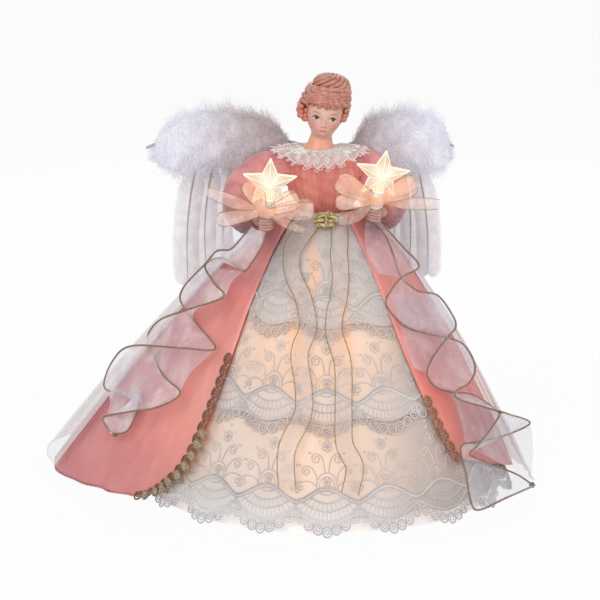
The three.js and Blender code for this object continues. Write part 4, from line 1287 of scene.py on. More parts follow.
def addBodice(cut):
    rise = np.linspace(cut["low"], cut["high"], cut["rows"])[:, None]
    angle = fullTurn(cut["columns"], -math.pi)[None]
    halfWidth, halfDepth = sectionAt(cut["sections"], rise)
    share = (rise - cut["low"]) / (cut["high"] - cut["low"])
    # gathers open out from the waist and close again at the neckline
    pull = .35 + .65 * (1 - np.sin(math.pi * np.clip(share, 0, 1)) ** .7)
    ripple = folds(cut["gathers"], angle + .12 * np.sin(3 * angle) + .15 * share) * 1.3 * pull
    ripple = ripple + .5 * folds(9, angle + 3 * share) * np.sin(math.pi * share)
    grow = cut["grow"] + ripple
    spots = joined((halfWidth + grow) * np.sin(angle), -(halfDepth + grow) * np.cos(angle),
                   gownShape["waistHeight"] + rise)
    bundle = Bundle()
    bundle.sheet(spots, joined(angle * cut["around"] + 80, rise), around=True)
    made = bundle.piece("bodiceSatin", bodiceSatin(), slot="pink_satin", stands=["bodice"])
    declareSheet(made, cut["flat"])
    seams = Bundle()
    for place in cut["stitched"]:
        loop = spots[place] + unit(spots[place] * [1, 1, 0]) * .15
        for start in range(0, len(loop) - 2, 3):
            seams.tube(loop[start:start + 3], .16, 5)
    seams.piece("bodiceStitches", bodiceThread, slot="pink_satin")


bodiceThread = metalThread("rosyThread", "b9665f", "dd8f86", .5)
addBodice(bodiceCut)

headForm = {
    "base": 252.3,
    "tilt": 8,              # degrees, crown leaning to the right
    "tiltRise": 30.5,
    # rise, half width, front, back
    "sections": [[-3, 12, 10.4, 10.2], [0, 10.8, 9.6, 9.4], [2, 9.8, 8.9, 9], [5, 8.9, 8.2, 8.8],
                 [7.6, 8.4, 8.2, 9], [9, 7.9, 10.8, 9.6], [10.5, 8, 14.8, 10.6],
                 [12.5, 9.1, 16.4, 12.6], [15, 10.6, 17, 14.8],
                 [19, 12.6, 17.3, 17], [24, 13.7, 17.1, 18], [30, 13.8, 16.6, 18], [36, 12.4, 14.8, 16.8],
                 [41, 9.6, 11.4, 13.4], [45, 4, 5, 6]],
    "chin": 11.2,
    "eyes": (6.2, 23.3),        # out, rise
    "brow": 27.4,
    "mouth": 14.2,
    "cheek": (8.4, 17.8),
    "bridge": [(16.6, 0), (18, 2.5), (20, 1.7), (25.4, .7), (28.4, 0)],     # rise, how far the nose is out
    "bridgeWidth": 1.5,
    # features pushed out of the face: push, rise and its spread, distance from the middle and its spread
    "features": [
        (.8, 17.7, .9, 1.5, .8),        # nostrils
        (.75, 14.2, 1.3, 0, 2.7),       # lips
        (-.4, 14.25, .3, 0, 2.6),       # their parting
        (.8, 11.2, 1.5, 0, 2.4),        # chin
        (-.35, 12.8, .7, 0, 2.5),       # dip over it
        (-1, 23.3, 1.9, 6.2, 2.9),      # eye sockets
        (.75, 23.3, 1, 6.2, 1.7),       # eyeballs
        (.45, 17.8, 3, 8.4, 3),         # cheeks
    ],
    "chinNarrows": (.3, 3.6),           # share of the width, spread
    "rows": 180,
    "columns": 180,
}


def tilted(points):
    # the head leans to one side, and its neck with it
    lean = math.radians(headForm["tilt"])
    pivot = headForm["base"] + headForm["tiltRise"]
    across, up = points[..., 0], points[..., 2] - pivot
    return np.stack([across * math.cos(lean) + up * math.sin(lean), points[..., 1],
                     pivot + up * math.cos(lean) - across * math.sin(lean)], -1)


def headPlace(look):
    # the head's own upright measures: across, depth and rise
    x, y, z = look.axes()
    lean = math.radians(headForm["tilt"])
    up = z - (headForm["base"] + headForm["tiltRise"])
    across = x * math.cos(lean) - up * math.sin(lean)
    return across, y, x * math.sin(lean) + up * math.cos(lean) + headForm["tiltRise"]


def facePaint(form):
    # painted doll's face: skin, flushed cheeks, lips, lids, eyes and brows
    look = Look("paintedPorcelain")
    x, y, rise = headPlace(look)
    front = 1 - y.step(-9.5, -6.5)
    out = x.absolute()
    # painted warm lamp light on the neck under the jaw, with a faint painted glow there
    warm = 1 - rise.step(2, 10)
    cheek = (out - form["cheek"][0]).bell(3.6) * (rise - form["cheek"][1]).bell(3.2) * front
    lipCurve = rise - form["mouth"] - out * out * .035
    lips = (lipCurve.bell(.85) * out.bell(3.0)).step(.3, .55) * front
    parting = (lipCurve.bell(.2) * out.bell(3)).step(.4, .7) * front
    fromEye = out - form["eyes"][0]
    eyeRise = rise - form["eyes"][1]
    white = ((fromEye / 2.5) ** 2.0 + ((eyeRise / 1.15) ** 2.0)).step(.8, 1.1)
    glance = ((x - form["eyes"][0] - .35) ** 2.0).smaller((x + form["eyes"][0] - .35) ** 2.0)
    iris = (glance / 2.3 + ((eyeRise / 1.3) ** 2.0)).step(.75, 1.05)
    lidCurve = eyeRise - 1.05 + fromEye * fromEye * .13
    lid = (lidCurve.bell(.66) * fromEye.bell(3.5)).step(.35, .6) * front
    crease = ((lidCurve - .95).bell(.3) * fromEye.bell(2.8)).step(.4, .8) * front
    browCurve = rise - form["brow"] + (fromEye - .4) * (fromEye - .4) * .1
    brow = (browCurve.bell(.42) * (fromEye - .2).bell(4)).step(.35, .7) * front
    paint = look.coats(look.mix(look.noise(7, 3).step(.35, .7), "d9a895", "e4b8a7"),
                       (warm * .7, "e39a76"), (cheek * .6, "e58e7e"), (lips * .85, "e2705f"),
                       (parting * .6, "a8473f"), ((1 - white) * front, "ecd9cd"),
                       ((1 - iris) * front, "170e0b"), (lid, "24140f"), (crease * .4, "b87a66"),
                       (brow * .8, "8a5240"))
    return look.finish(BaseColor=paint, Roughness=.34 + cheek * .1, CoatWeight=.25,
                       EmissionColor=look.shine(warm * .1, "ff9a55"),
                       Normal=look.bump(look.noise(1.5, 2), .05))


def smoothSections(sections, rise):
    path = smoothPath(np.array(sections, float), 10)
    return [np.interp(rise, path[:, 0], path[:, k]) for k in range(1, path.shape[1])]


def addHead(form):
    rise = np.linspace(form["sections"][0][0], form["sections"][-1][0], form["rows"])[:, None]
    angle = fullTurn(form["columns"], -math.pi)[None]
    angle = angle - .42 * np.sin(angle)          # more points on the face
    halfWidth, front, back = smoothSections(form["sections"], rise)
    ahead = np.clip(np.cos(angle), 0, 1)
    share, spread = form["chinNarrows"]
    x = halfWidth * np.sin(angle) * (1 - share * bell(rise - form["chin"], spread) * ahead ** 1.5)
    y = -np.where(np.cos(angle) > 0, front, back) * np.cos(angle)
    push = np.interp(rise, *zip(*form["bridge"])) * bell(x, form["bridgeWidth"])
    for amount, level, high, out, wide in form["features"]:
        push = push + amount * bell(rise - level, high) * bell(np.abs(x) - out, wide)
    grid = joined(x, y - push * ahead ** .7, form["base"] + rise)
    bundle = Bundle()
    bundle.sheet(tilted(grid), around=True)
    bundle.piece("paintedHead", facePaint(form), slot="painted_porcelain", stands=["head"])


addHead(headForm)

hairForm = {
    "middle": 31,           # rise of the crown's middle
    "back": 2,
    "half": (15.4, 19, 15),
    "locks": 48,
    "lock": 1.45,
    "band": (.27, .39, .51, .63, .75),      # lean of each combed roll over the forehead
    "bandRoll": 1.35,
    "fringe": 31,
    "fringeLock": .72,
    "bun": (46.6, 2.5, 13, 12.4, 8),      # rise, set back, half sizes
    "bunShift": 2.2,
    "bunRolls": 13,
    "bunRoll": 1.9,
    "coil": 1.9,
    "coils": [(39.6, 15.4), (42, 15.2), (44.4, 14.4)],      # rise, half width of the rolls under the bun
    "wave": 2.2,
    "waveDepth": 16.4,
    # rise and reach of the waves down each side of the face
    "waves": {
        "left": [(40.6, 14.8), (36.6, 16.6), (32.6, 18.2), (28.8, 19.2), (25.2, 19.4), (21.8, 18.4)],
        "right": [(41, 15.2), (37.2, 16.1), (33.6, 16.7), (30, 16.6), (26.4, 16.1), (23, 15.2)],
    },
}


def hairPaint():
    look = Look("moldedHair")
    strands = look.noise(3.2, 2, stretch=(1, 1, .6))
    # the lower hair is painted warmer orange, painted lamp light from below
    low = 1 - headPlace(look)[2].step(20, 40)
    colour = look.coats(look.mix(strands.step(.3, .75), "b57464", "d59a87"),
                        (look.noise(8, 2).step(.5, .8) * .5, "c98068"), (low * .45, "d9735c"))
    return look.finish(BaseColor=colour, Roughness=.45 - strands * .12, CoatWeight=.15,
                       Normal=look.bump(strands, .06))


def crownSpot(turn, lean, form, grow=0.0):
    # turn from the face round to the back, lean up from the crown's middle
    halfX, halfY, halfZ = form["half"]
    middle = np.array([0, form["back"], headForm["base"] + form["middle"]])
    x = (halfX + grow) * np.sin(turn) * np.cos(lean)
    y = -(halfY + grow) * np.cos(turn) * np.cos(lean)
    return middle + joined(x, y, (halfZ + grow) * np.sin(lean))


def hairLine(turn):
    # lean at which the hair starts: over the forehead, down past the ears, round the nape
    side = np.clip((np.abs(turn) - 1.1) / .6, 0, 1)
    nape = np.clip((np.abs(turn) - 1.7) / .6, 0, 1)
    return (.14 + .08 * np.cos(turn * 2)) * (1 - side) - .6 * side - .4 * nape


def bunSpot(turn, tilt, form):
    rise, back, halfX, halfY, halfZ = form["bun"]
    return joined(form["bunShift"] + halfX * np.cos(tilt) * np.sin(turn),
                  back - halfY * np.cos(tilt) * np.cos(turn),
                  headForm["base"] + rise + halfZ * np.sin(tilt))


def addHair(form):
    bundle = Bundle()
    turn = fullTurn(120, -math.pi)[None]
    line = hairLine(turn)
    bundle.sheet(crownSpot(turn, line + (1.5 - line) * np.linspace(0, 1, 30)[:, None], form, .2), around=True)
    share = np.linspace(0, 1, 26)
    for number in range(form["locks"]):      # rippled locks drawn up and back to the bun
        start = -math.pi + 2 * math.pi * (number + .5) / form["locks"]
        sweep = .55 * share * np.sign(start) * (abs(start) < 2.2)
        ripple = np.sin(share * 22 + number * 2.1)
        low = float(hairLine(np.array(start)))
        path = crownSpot(start + sweep + .03 * ripple, low + (1.2 - low) * share, form, .9 + .35 * ripple)
        bundle.tube(path, form["lock"] * (.82 + .12 * ripple), 8)
    roll = np.linspace(-1.3, 1.3, 60)
    for lean in form["band"]:
        combed = lean - .1 * roll ** 2 + .05 * roll + .02 * np.sin(roll * 9 + lean * 9)
        path = crownSpot(roll, combed, form, 1.3)
        bundle.tube(path, form["bandRoll"] * (1 + .05 * np.sin(roll * 17)), 8)
    fall = np.linspace(0, 1, 8)
    for number, side in enumerate(np.linspace(-1, 1, form["fringe"])):      # short soft fringe
        lean = form["band"][0] - (.3 + .07 * math.cos(number * 4) - .14 * side ** 2) * fall
        path = crownSpot(side * .98 + .1 * fall ** 2 * math.sin(number * 5), lean, form, 1.1 - .6 * fall)
        bundle.tube(path, form["fringeLock"] * (1 - .3 * fall) * np.sqrt(1.05 - fall ** 6), 7)
    turn = fullTurn(40)[None]
    bundle.sheet(bunSpot(turn, np.linspace(-1.5, 1.5, 16)[:, None], form), around=True)
    for number in range(form["bunRolls"]):         # rolls laid slantwise round the bun
        turn = 2.3 * share + number * 2 * math.pi / form["bunRolls"]
        girth = form["bunRoll"] * (1 - .25 * share) + .15 * np.sin(share * 19 + number)
        bundle.tube(bunSpot(turn, -1.0 + 2.25 * share, form), girth, 8)
    turn = fullTurn(90)
    for rise, half in form["coils"]:
        ripple = .35 * np.sin(turn * 13 + rise)
        path = joined(form["bunShift"] * .4 + (half + ripple) * np.sin(turn),
                      2.4 - (half + 1 + ripple) * np.cos(turn),
                      headForm["base"] + rise + .5 * np.sin(turn * 2 + rise))
        bundle.tube(path, form["coil"] + ripple * .4, 8, closed=True)
    for side, sign in signs.items():     # waves laid round the side, and a row under them by the cheek
        for number, (rise, reach) in enumerate(form["waves"][side]):
            for row in (0, 1):
                turn = np.linspace(.98 - .05 * row, 2.8 - row, 40)
                ripple = np.sin(turn * 8 + number * 2.1 + row)
                wide = reach - 3.6 * row + .3 * ripple
                path = joined(sign * wide * np.sin(turn),
                              form["back"] - (form["waveDepth"] - row) * np.cos(turn),
                              headForm["base"] + rise - 2.2 * row + .55 * ripple)
                ends = np.sqrt(np.clip(np.minimum(turn - turn[0], turn[-1] - turn) / .16, .12, 1))
                bundle.tube(path, form["wave"] * (1 + .1 * np.sin(turn * 13 + number)) * ends, 9)
    bundle.points = [tilted(points) for points in bundle.points]
    bundle.piece("pinnedHair", hairPaint(), slot="painted_porcelain")


addHair(hairForm)

collarCut = {
    "side": 34, "front": 27, "back": 15,
    "shift": -4,            # follows the neck to the left
    "neck": 9.3,
    "rise": 250.4,
    "frontDrop": 9,
    "ruffles": 19,
    "ruffle": 1.7,
    "columns": 300,
    "rows": 14,
    "picots": 62,
    "cords": [(1, .42), (.62, .32), (.3, .3)],      # share of the way out, thread
    "around": 28,
    "flat": (190, 26),
}


def collarSpot(angle, share, cut):
    ends = np.where(np.cos(angle) > 0, cut["front"], cut["back"])
    edge = np.hypot(cut["side"] * np.sin(angle), ends * np.cos(angle))
    ahead = np.clip(np.cos(angle), 0, 1)
    wave = cut["ruffle"] * np.sin(cut["ruffles"] * angle + .6 * np.sin(3 * angle)) * share ** 1.2
    scallop = 1 + .035 * np.cos(2 * cut["ruffles"] * angle) * share
    reach = cut["neck"] + (edge - cut["neck"]) * share * scallop
    height = cut["rise"] + 1.8 + wave - cut["frontDrop"] * share ** 2 * ahead ** 2 - 1.4 * share ** 2
    return joined(cut["shift"] + reach * np.sin(angle), -reach * np.cos(angle), height)


def collarLace():
    look = Look("collarNet")
    mesh = look.net(1.3)
    glow = starGlow(look, 24)
    colour = look.coats(look.mix(look.noise(6, 2).step(.4, .7), "f6ebe6", "fffaf6"), (glow * .5, "ffe0c8"))
    return look.finish(BaseColor=colour, Roughness=.6, Alpha=(mesh * .35 + .5).smaller(1.0),
                       EmissionColor=look.shine(glow * .18, "ffb070"), Normal=look.bump(mesh, .08))


def collarThread():
    look = Look("collarThread")
    twist = look.noise(1, 2)
    glow = starGlow(look, 26)
    colour = look.coats(look.mix(twist.step(.4, .7), "f1e9e6", "fffaf6"), (glow * .5, "ffe2c4"))
    return look.finish(BaseColor=colour, Roughness=.55, EmissionColor=look.shine(glow * .28, "ffb878"),
                       Normal=look.bump(twist, .15))


def addCollar(cut):
    angle = fullTurn(cut["columns"], -math.pi)[None]
    share = np.linspace(0, 1, cut["rows"])[:, None]
    bundle = Bundle()
    bundle.sheet(collarSpot(angle, share, cut), joined(angle * cut["around"], share * 20), around=True)
    made = bundle.piece("collarNet", collarLace(), slot="white_lace", stands=["lace_collar"])
    threads = Bundle()
    for place, girth in cut["cords"]:
        loop = collarSpot(fullTurn(240, -math.pi), np.full(240, place), cut)
        threads.tube(loop + [0, 0, .25], girth, 5, closed=True)
    for number, angleHere in enumerate(-math.pi + 2 * math.pi * np.arange(cut["picots"]) / cut["picots"]):
        places = collarSpot(np.full(4, angleHere), np.array([1.06, .8, .78, .5]), cut)
        edge, inner, rose, bud = places + [[0, 0, 0], [0, 0, 0], [0, 0, .6], [0, 0, .4]]
        outward = unit(edge - inner)
        sideways = unit(np.cross(outward, [0, 0, 1.0]))
        threads.ring(edge + [0, 0, .2], sideways, outward, 1.35, .3, 12, 5)      # picots round the edge
        if number % 3 == 0:         # roses and buds within
            for radius in (2.3, 1.4):
                threads.ring(rose, sideways, outward, radius, .34, 14, 5)
            threads.bead(rose, sideways, outward, np.array([0, 0, 1.0]), (.7, .7, .5))
        else:
            threads.ring(bud, sideways, outward, 1.25, .28, 12, 5)
    trim = threads.piece("collarThreads", collarThread(), slot="white_lace")
    declareSheet(made, cut["flat"])


addCollar(collarCut)
print("figure: bodice, head, hair and collar made")


armForm = {
    # out, forward, up from the waist
    "left": [[20, -4, 34], [45, -3, 33], [65, 0, 24], [72, 12, 13], [64, 31, 6], [51, 44, 4]],
    "right": [[20, -4, 35], [37, -3, 34], [51, 0, 24], [56, 12, 14], [50, 31, 9], [41, 44, 9]],
    "sleeve": [11, 16, 19, 18, 14.5, 8.5],
    "drawnIn": [0, 5, 11, 12, 8, 1],        # how far the soft sleeve hangs towards the figure
    "droop": [0, 1, 2, 2, 2, 0],
    "gathers": 15,
    "phase": {"left": 0, "right": 1.3},         # of the gathers round each sleeve
    "ease": 25,
    "flatWidth": 100,
    "columns": 120,
    # the cuff closes round the wrist: share of its radius, step along the arm
    "cuff": [(1, 0), (.8, .9), (.55, .7), (.45, -2)],
}


def armRoute(side):
    waist = gownShape["waistHeight"]
    return np.array([[signs[side] * out, -forward, waist + up] for out, forward, up in armForm[side]], float)


def fistSpot(side):
    return nodeMiddle(f"hand_{side}")


def sleeveSatin():
    look = Look("sleeveSatin")
    drape = look.noise(12, 3)
    z = look.axes()[2]
    glow = starGlow(look, 33)
    # painted shade darkens the lower half of each sleeve to mauve and its underside further, and keeps the
    # star lamps' glow off the underside
    under = 1 - z.step(199, 216)
    colour = look.coats(look.mix(drape.step(.35, .7), "cf7f83", "e79b97"),
                        ((1 - z.step(207, 232)) * .8, "97596a"), (glow * .7, "f79a72"),
                        (under * .8, "8d5764"))
    light = look.shine(glow * (1 - under) * .26, "ff8436")
    return satin(look, drape, colour, light, look.noise(5, 3), .34, SheenWeight=.25)


sleeveLook = sleeveSatin()


def addSleeve(side, form):
    stations = armRoute(side)
    stations[:, 0] += np.array(form["drawnIn"]) * -signs[side]
    stations[:, 2] -= form["droop"]
    path = smoothPath(stations, 16)
    radius = np.interp(np.linspace(0, 1, len(path)), np.linspace(0, 1, 6), form["sleeve"])
    tangents, across, up = pathFrames(path)
    turn = fullTurn(form["columns"])[None]
    share = np.linspace(0, 1, len(path))[:, None]
    # gathers at the shoulder and the cuff, soft dents at the elbow
    pull = .35 + 1.1 * bell(share, .2) + 1.3 * bell(share - 1, .2)
    phase = form["phase"][side]
    ripple = -pull * (1 - folds(form["gathers"], turn + .5 * np.sin(2 * turn) + .8 * share + phase)) * .95
    dents = -1.1 * np.sin(math.pi * share) * folds(1, 7 * share * math.pi * 1.3 + 2.0 * np.sin(turn + phase))
    reach = radius[:, None] + .4 + ripple + dents
    ring = across[:, None] * np.cos(turn)[..., None] + up[:, None] * np.sin(turn)[..., None]
    grid = path[:, None] + ring * reach[..., None]
    length = float(stepLengths(path).sum())
    bundle = Bundle()
    bundle.sheet(grid, joined(turn * 12, share * length), around=True)
    rims = [path[-1] + tangents[-1] * along + (grid[-1] - path[-1]) * inward
            for inward, along in form["cuff"]]
    bundle.sheet(np.array(rims), np.full((len(rims), form["columns"], 2), length), around=True)
    made = bundle.piece(f"sleeveSatin_{side}", sleeveLook, slot="pink_satin", stands=[f"sleeve_{side}"])
    declareSheet(made, (form["flatWidth"], length + form["ease"]))


def handPaint():
    look = Look("paintedHands")
    colour = look.coats(look.mix(look.noise(5, 3).step(.35, .7), "b08480", "cfa296"),
                        (starGlow(look, 24) * .5, "f2b795"))
    return look.finish(BaseColor=colour, Roughness=.42, CoatWeight=.2,
                       Normal=look.bump(look.noise(2, 2), .08))


handLook = handPaint()


def lampAxis(side):
    # the holder's own line, from its CAD node to the star's middle
    holder = nodeMiddle(f"lamp_holder_{side}")
    return holder, unit(nodeMiddle(f"star_bulb_{side}") - holder)


handForm = {
    "wrist": (4.2, 4.6),            # radius at the cuff and at the fist
    "palm": (4.3, 5.4, 5.2),        # half sizes
    "fingers": (3.6, 1.2, -1.2, -3.6),      # level of each along the lamp
    "curl": (4.6, 5),               # half width and depth of a finger's bend
    "bend": (-.4, 2.9),
    "finger": (1.45, 1.1),          # radius at the knuckle and at the tip
    "thumb": [(-3.6, 1.5, 0), (-4.6, 3.8, 2), (-2.2, 5.4, 4.6)],        # outward, along the lamp, ahead
    "thumbGirth": (1.7, 1.25),
}


def addHand(side, form):
    fist = fistSpot(side)
    arm = armRoute(side)[-1]
    axis = lampAxis(side)[1]
    reachAway = unit(fist - arm)
    outward = unit(np.cross(axis, reachAway)) * signs[side]
    bundle = Bundle()
    wrist = smoothPath([arm - reachAway * 3, arm + reachAway * 3, fist - reachAway * 3], 6)
    bundle.tube(wrist, np.linspace(*form["wrist"], len(wrist)), 14)
    bundle.bead(fist - reachAway * .6, outward, axis, reachAway, form["palm"], 14, 18)
    bend = np.linspace(*form["bend"], 12)[:, None]
    wide, deep = form["curl"]
    for level in form["fingers"]:         # closed round the stem
        curl = fist + axis * level + outward * (wide * np.cos(bend)) + reachAway * (1.2 + deep * np.sin(bend))
        bundle.tube(curl, np.linspace(*form["finger"], 12), 10)
    thumb = smoothPath([fist + outward * out + axis * up + reachAway * ahead
                        for out, up, ahead in form["thumb"]], 6)
    bundle.tube(thumb, np.linspace(*form["thumbGirth"], len(thumb)), 10)
    bundle.piece(f"paintedHand_{side}", handLook, slot="painted_hands", stands=[f"hand_{side}"])


bowForm = {
    # direction in degrees, length, width, depth of the loop (none for a loose tail)
    "left": [(116, 25, 19, 8), (160, 44, 9, 0), (190, 34, 14, 5), (4, 36, 17, 7), (24, 27, 14, 9),
             (-26, 32, 7, 0)],
    "right": [(28, 31, 18, 8), (-3, 46, 10, 0), (151, 32, 20, 9), (182, 29, 13, 6)],
    "raise": {"left": 9, "right": 11},
    "ahead": 10,
    "knot": 3.4,
    "edge": .22,
    "sash": 12,         # ribbon from the right bow to the rosette
    "wraps": 5,         # of the ribbon round the bow's middle
    "ties": (-1.8, -.6, .6, 1.8),       # levels of the turns round the lamp holder
    "flat": (13, 420),
}


def bowSpot(side):
    return fistSpot(side) + [0, -bowForm["ahead"], bowForm["raise"][side]]


def ribbonRun(cloth, edges, path, half, lay, ripple):
    # a wired ribbon along the path, with its two bronze edges
    across = np.linspace(-1, 1, 7)
    grid = path[:, None] + lay * (across[None] * half[:, None])[..., None]
    grid = grid + np.array([0, -1.0, 0]) * (ripple[:, None] * np.cos(across * 3)[None])[..., None]
    cloth.sheet(grid, joined(across[None] * 6 + 12, runLengths(path)[:, None]))
    for column in (0, -1):
        edges.tube(grid[:, column], bowForm["edge"])


def addBow(side, form):
    middle = bowSpot(side)
    cloth, edges, knot = Bundle(), Bundle(), Bundle()
    share = np.linspace(0, 1, 34)
    arch = np.sin(share * math.pi)
    for number, (degrees, length, width, depth) in enumerate(form[side]):
        lean = math.radians(degrees)
        ahead = np.array([math.cos(lean), 0, math.sin(lean)])
        rise = np.array([-math.sin(lean), 0, math.cos(lean)])
        if depth:       # out, folded over and back behind
            out, pinch = arch ** .7 * length, arch ** .5
            forward = np.cos(share * math.pi) * pinch * depth
        else:
            out, forward, pinch = share * length, 2 * np.sin(share * 3), np.clip(share * 2.2, 0, 1)
        path = middle + ahead * out[:, None] + np.array([0, -1.0, 0]) * forward[:, None]
        path = path + rise * ((share - .5) * arch * depth * .5)[:, None]
        lay = unit(rise + np.array([0, .3 * (-1) ** number, 0]))
        end = arch ** 8 if depth else share ** 4 * .5
        half = width * (.2 + .8 * pinch) * (1 - .5 * end) / 2
        ribbonRun(cloth, edges, path, half, lay, .9 * np.sin(share * 9 + number))
    if side == "right":
        rosette = np.array([7, -atWaistFront() - 2, rosetteForm["rise"] - 1])
        path = evenPath(smoothPath([middle, middle * .62 + rosette * .38 + [0, -5, -3], rosette], 12), 34)
        half = form["sash"] * (.3 + .7 * arch ** .5) / 2
        ribbonRun(cloth, edges, path, half, unit([.25, -.3, 1]), 1.2 * np.sin(share * 8))
    turn = fullTurn(20)[:, None]
    for number in range(form["wraps"]):         # the ribbon wrapped round the middle
        fromMiddle = number - (form["wraps"] - 1) / 2
        wrap = middle + np.array([1.0, 0, 0]) * fromMiddle * 1.1
        girth = form["knot"] * (1 - .06 * fromMiddle ** 2)
        wrap = wrap + np.array([0, 1.0, .1]) * np.cos(turn) * girth * .8
        knot.tube(wrap + np.array([0, -.1, 1.0]) * np.sin(turn) * girth, .9, 8, closed=True)
    holder, axis = lampAxis(side)
    turn = fullTurn(30)[:, None]
    for level in form["ties"]:      # and tied round the lamp holder
        ring = holder + axis * np.dot(middle - holder, axis) + [0, -1.8, level]
        ring = ring + joined(5.6 * np.cos(turn), 7.4 * np.sin(turn), 0)[:, 0]
        knot.tube(ring, .75, 7, closed=True)
    made = cloth.piece(f"bow_{side}", bowLook, slot="ribbon", stands=[f"hand_bow_{side}"])
    trim = edges.piece(f"bowEdges_{side}", wireEdgeLook, slot="ribbon")
    tie = knot.piece(f"bowKnot_{side}", bowLook, slot="ribbon")
    declareSheet(made, form["flat"])


def bowRibbon():
    look = Look("bowRibbon")
    threads = look.net(.8)
    crease = look.noise(9, 3)
    glow = starGlow(look, 32)
    colour = look.coats(look.mix(crease.step(.4, .7), "ecd5d3", "fbeee8"), (glow * .8, "ffc39a"))
    return look.finish(BaseColor=colour, Roughness=.36, SheenWeight=.3,
                       Alpha=crease.step(.3, .7) * .22 + .26 + threads * .03,
                       EmissionColor=look.shine(glow * .3, "ffab52"), Normal=look.bump(crease, .6, .6))


bowLook = bowRibbon()
wireEdgeLook = metalThread("ribbonWire", "84694a", "c9ab7c", .6)


def holderPlastic():
    # glossy molded lamp holder, lit from the lamp above it
    look = Look("lampHolderPlastic")
    tone = look.noise(6, 2)
    return look.finish(BaseColor=look.mix(tone.step(.35, .7), "e2dfe0", "f4f1ee"), Roughness=tone * .15 + .28,
                       EmissionColor=look.shine(starGlow(look, 20) * .25, "ffd9a0"),
                       Normal=look.bump(look.noise(1.4, 2), .04))


holderLook = holderPlastic()
ribForm = {
    "count": 14,
    "middle": 3.2,
    "half": 5.5,
    "out": 4.25,
    "thick": .45,
    "rings": (-2.6, 9.2),
    "ring": (4.3, .5),      # radius, thickness
}


def addHolderRibs(side, form):
    # grip ribs and two rims round the molded holder
    holder, axis = lampAxis(side)
    across = unit(np.cross(axis, [0, 1.0, 0]))
    ahead = np.cross(across, axis)
    half = form["half"]
    bundle = Bundle()
    for turn in fullTurn(form["count"]):
        outward = across * math.cos(turn) + ahead * math.sin(turn)
        base = holder + axis * form["middle"] + outward * form["out"]
        levels = np.array([-half, .5 - half, half - .5, half])[:, None]
        bundle.tube(base + axis * levels, form["thick"])
    for level in form["rings"]:
        bundle.ring(holder + axis * level, across, ahead, *form["ring"], 36)
    bundle.piece(f"holderRibs_{side}", holderLook, slot="white_plastic")


def starCover():
    look = Look("starCover")
    nearest = look.away(starMiddles["left"]).smaller(look.away(starMiddles["right"]))
    core = 1 - nearest.step(3, 13)
    light = look.coats(look.mix(core, "8e6c42", "d3cdb6"), (1 - nearest.step(0, 7), "fffaf0"))
    frost = look.noise(3, 2)
    return look.finish(BaseColor=look.mix(core, "ecdfca", "dcdccf"), Roughness=.18 + frost * .15,
                       CoatWeight=.4, EmissionColor=light, EmissionStrength=.42, Alpha=core * .38 + .55,
                       Normal=look.bump(frost, .15))


def edgeLight():
    look = Look("starEdges")
    light = look.mix(look.noise(4, 2), "f7e6c6", "fffaf0")
    return look.finish(BaseColor=light, Roughness=.3, EmissionColor=light, EmissionStrength=.35)


starLook, starEdgeLook = starCover(), edgeLight()


def addStarEdges(side):
    # bright molded edges of the clear star, along the sharp edges of its solid
    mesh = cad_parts[f"star_cover_{side}"].data
    places = {}
    for face in mesh.polygons:
        for key in face.edge_keys:
            ends = tuple(sorted(tuple(round(c, 6) for c in mesh.vertices[k].co) for k in key))
            places.setdefault(ends, []).append(np.array(face.normal))
    bundle = Bundle()
    for ends, normals in places.items():
        if len(normals) == 2 and np.dot(*normals) < .9:
            start, end = fromFrame(ends[0]), fromFrame(ends[1])
            bundle.tube(np.array([start, start + (end - start) * .08, end - (end - start) * .08, end]), .28)
    bundle.piece(f"starEdges_{side}", starEdgeLook, body=f"star_{side}", slot="star_plastic")


for armSide in signs:
    addSleeve(armSide, armForm)
    addHand(armSide, handForm)
    addBow(armSide, bowForm)
    addHolderRibs(armSide, ribForm)
    addStarEdges(armSide)
print("figure: sleeves, hands, bows and stars made")


wingForm = {
    "pivot": {"left": (-12, 22.038, 235), "right": (12, 22.038, 235)},
    # out, back, up from the pivot
    "stem": {
        "left": [[2, .5, 14], [26, 5, 20], [66, 8, 25], [100, 7, 21], [124, 6, 13]],
        "right": [[2, .5, 14], [20, 5, 20], [48, 8, 25], [72, 7, 21], [86, 6, 14]],
    },
    # root out, tip out, length, half width
    "feathers": {
        "left": [[85, 94, 99, 14], [72, 80, 89, 13], [58, 66, 76, 12]],
        "right": [[57, 68, 93, 13], [46, 54, 85, 12], [36, 41, 72, 11]],
    },
    "rootRise": 6,
    "rootBack": 13,
    "stagger": 2.2,
    "downHigh": 28,
    "downDeep": 14,
    "downDrop": -6,
    "downSpan": {"left": (.1, .95), "right": (.08, .97)},
    "filaments": {"left": 9000, "right": 7500},
    "seeds": {"left": 11, "right": 23},
    "featherSeeds": {"left": 100, "right": 150},
    "barbs": 150,
    "splits": 2,
    "flanks": (.85, .98),   # share of the half width that the inner and the outer barbs reach
    "quill": (.7, .14),     # radius at the root and at the tip
    "core": .74,            # share of the down that is filled by its core
    "strand": (.09, .22),   # half width of the filaments
    "taper": [1, 1, .95, .8, .6, .25],
}


def wingStem(side):
    pivot = np.array(wingForm["pivot"][side])
    return smoothPath([pivot + [signs[side] * out, back, up] for out, back, up in wingForm["stem"][side]], 12)


def downLook(name, cover, light):
    # white down, painted greyer and warmer towards the figure as shade, with a faint painted glow that is
    # stronger towards the outer ends
    look = Look(name)
    tone = look.noise(12, 3)
    x = look.axes()[0]
    out = (0 - x).step(50, 112).larger(x.step(18, 84))
    colour = look.coats(look.mix(out, "d3c8ca", "e8e9f2"), (tone.step(.45, .8) * (out * .5 + .1), "fdfdff"))
    return look.finish(BaseColor=colour, Roughness=.8, SheenWeight=.3, Alpha=tone * .1 + (cover - .05),
                       EmissionColor=look.shine((out * .75 + .25) * light, "eeeef8"),
                       Normal=look.bump(look.noise(1.6, 3), .5))


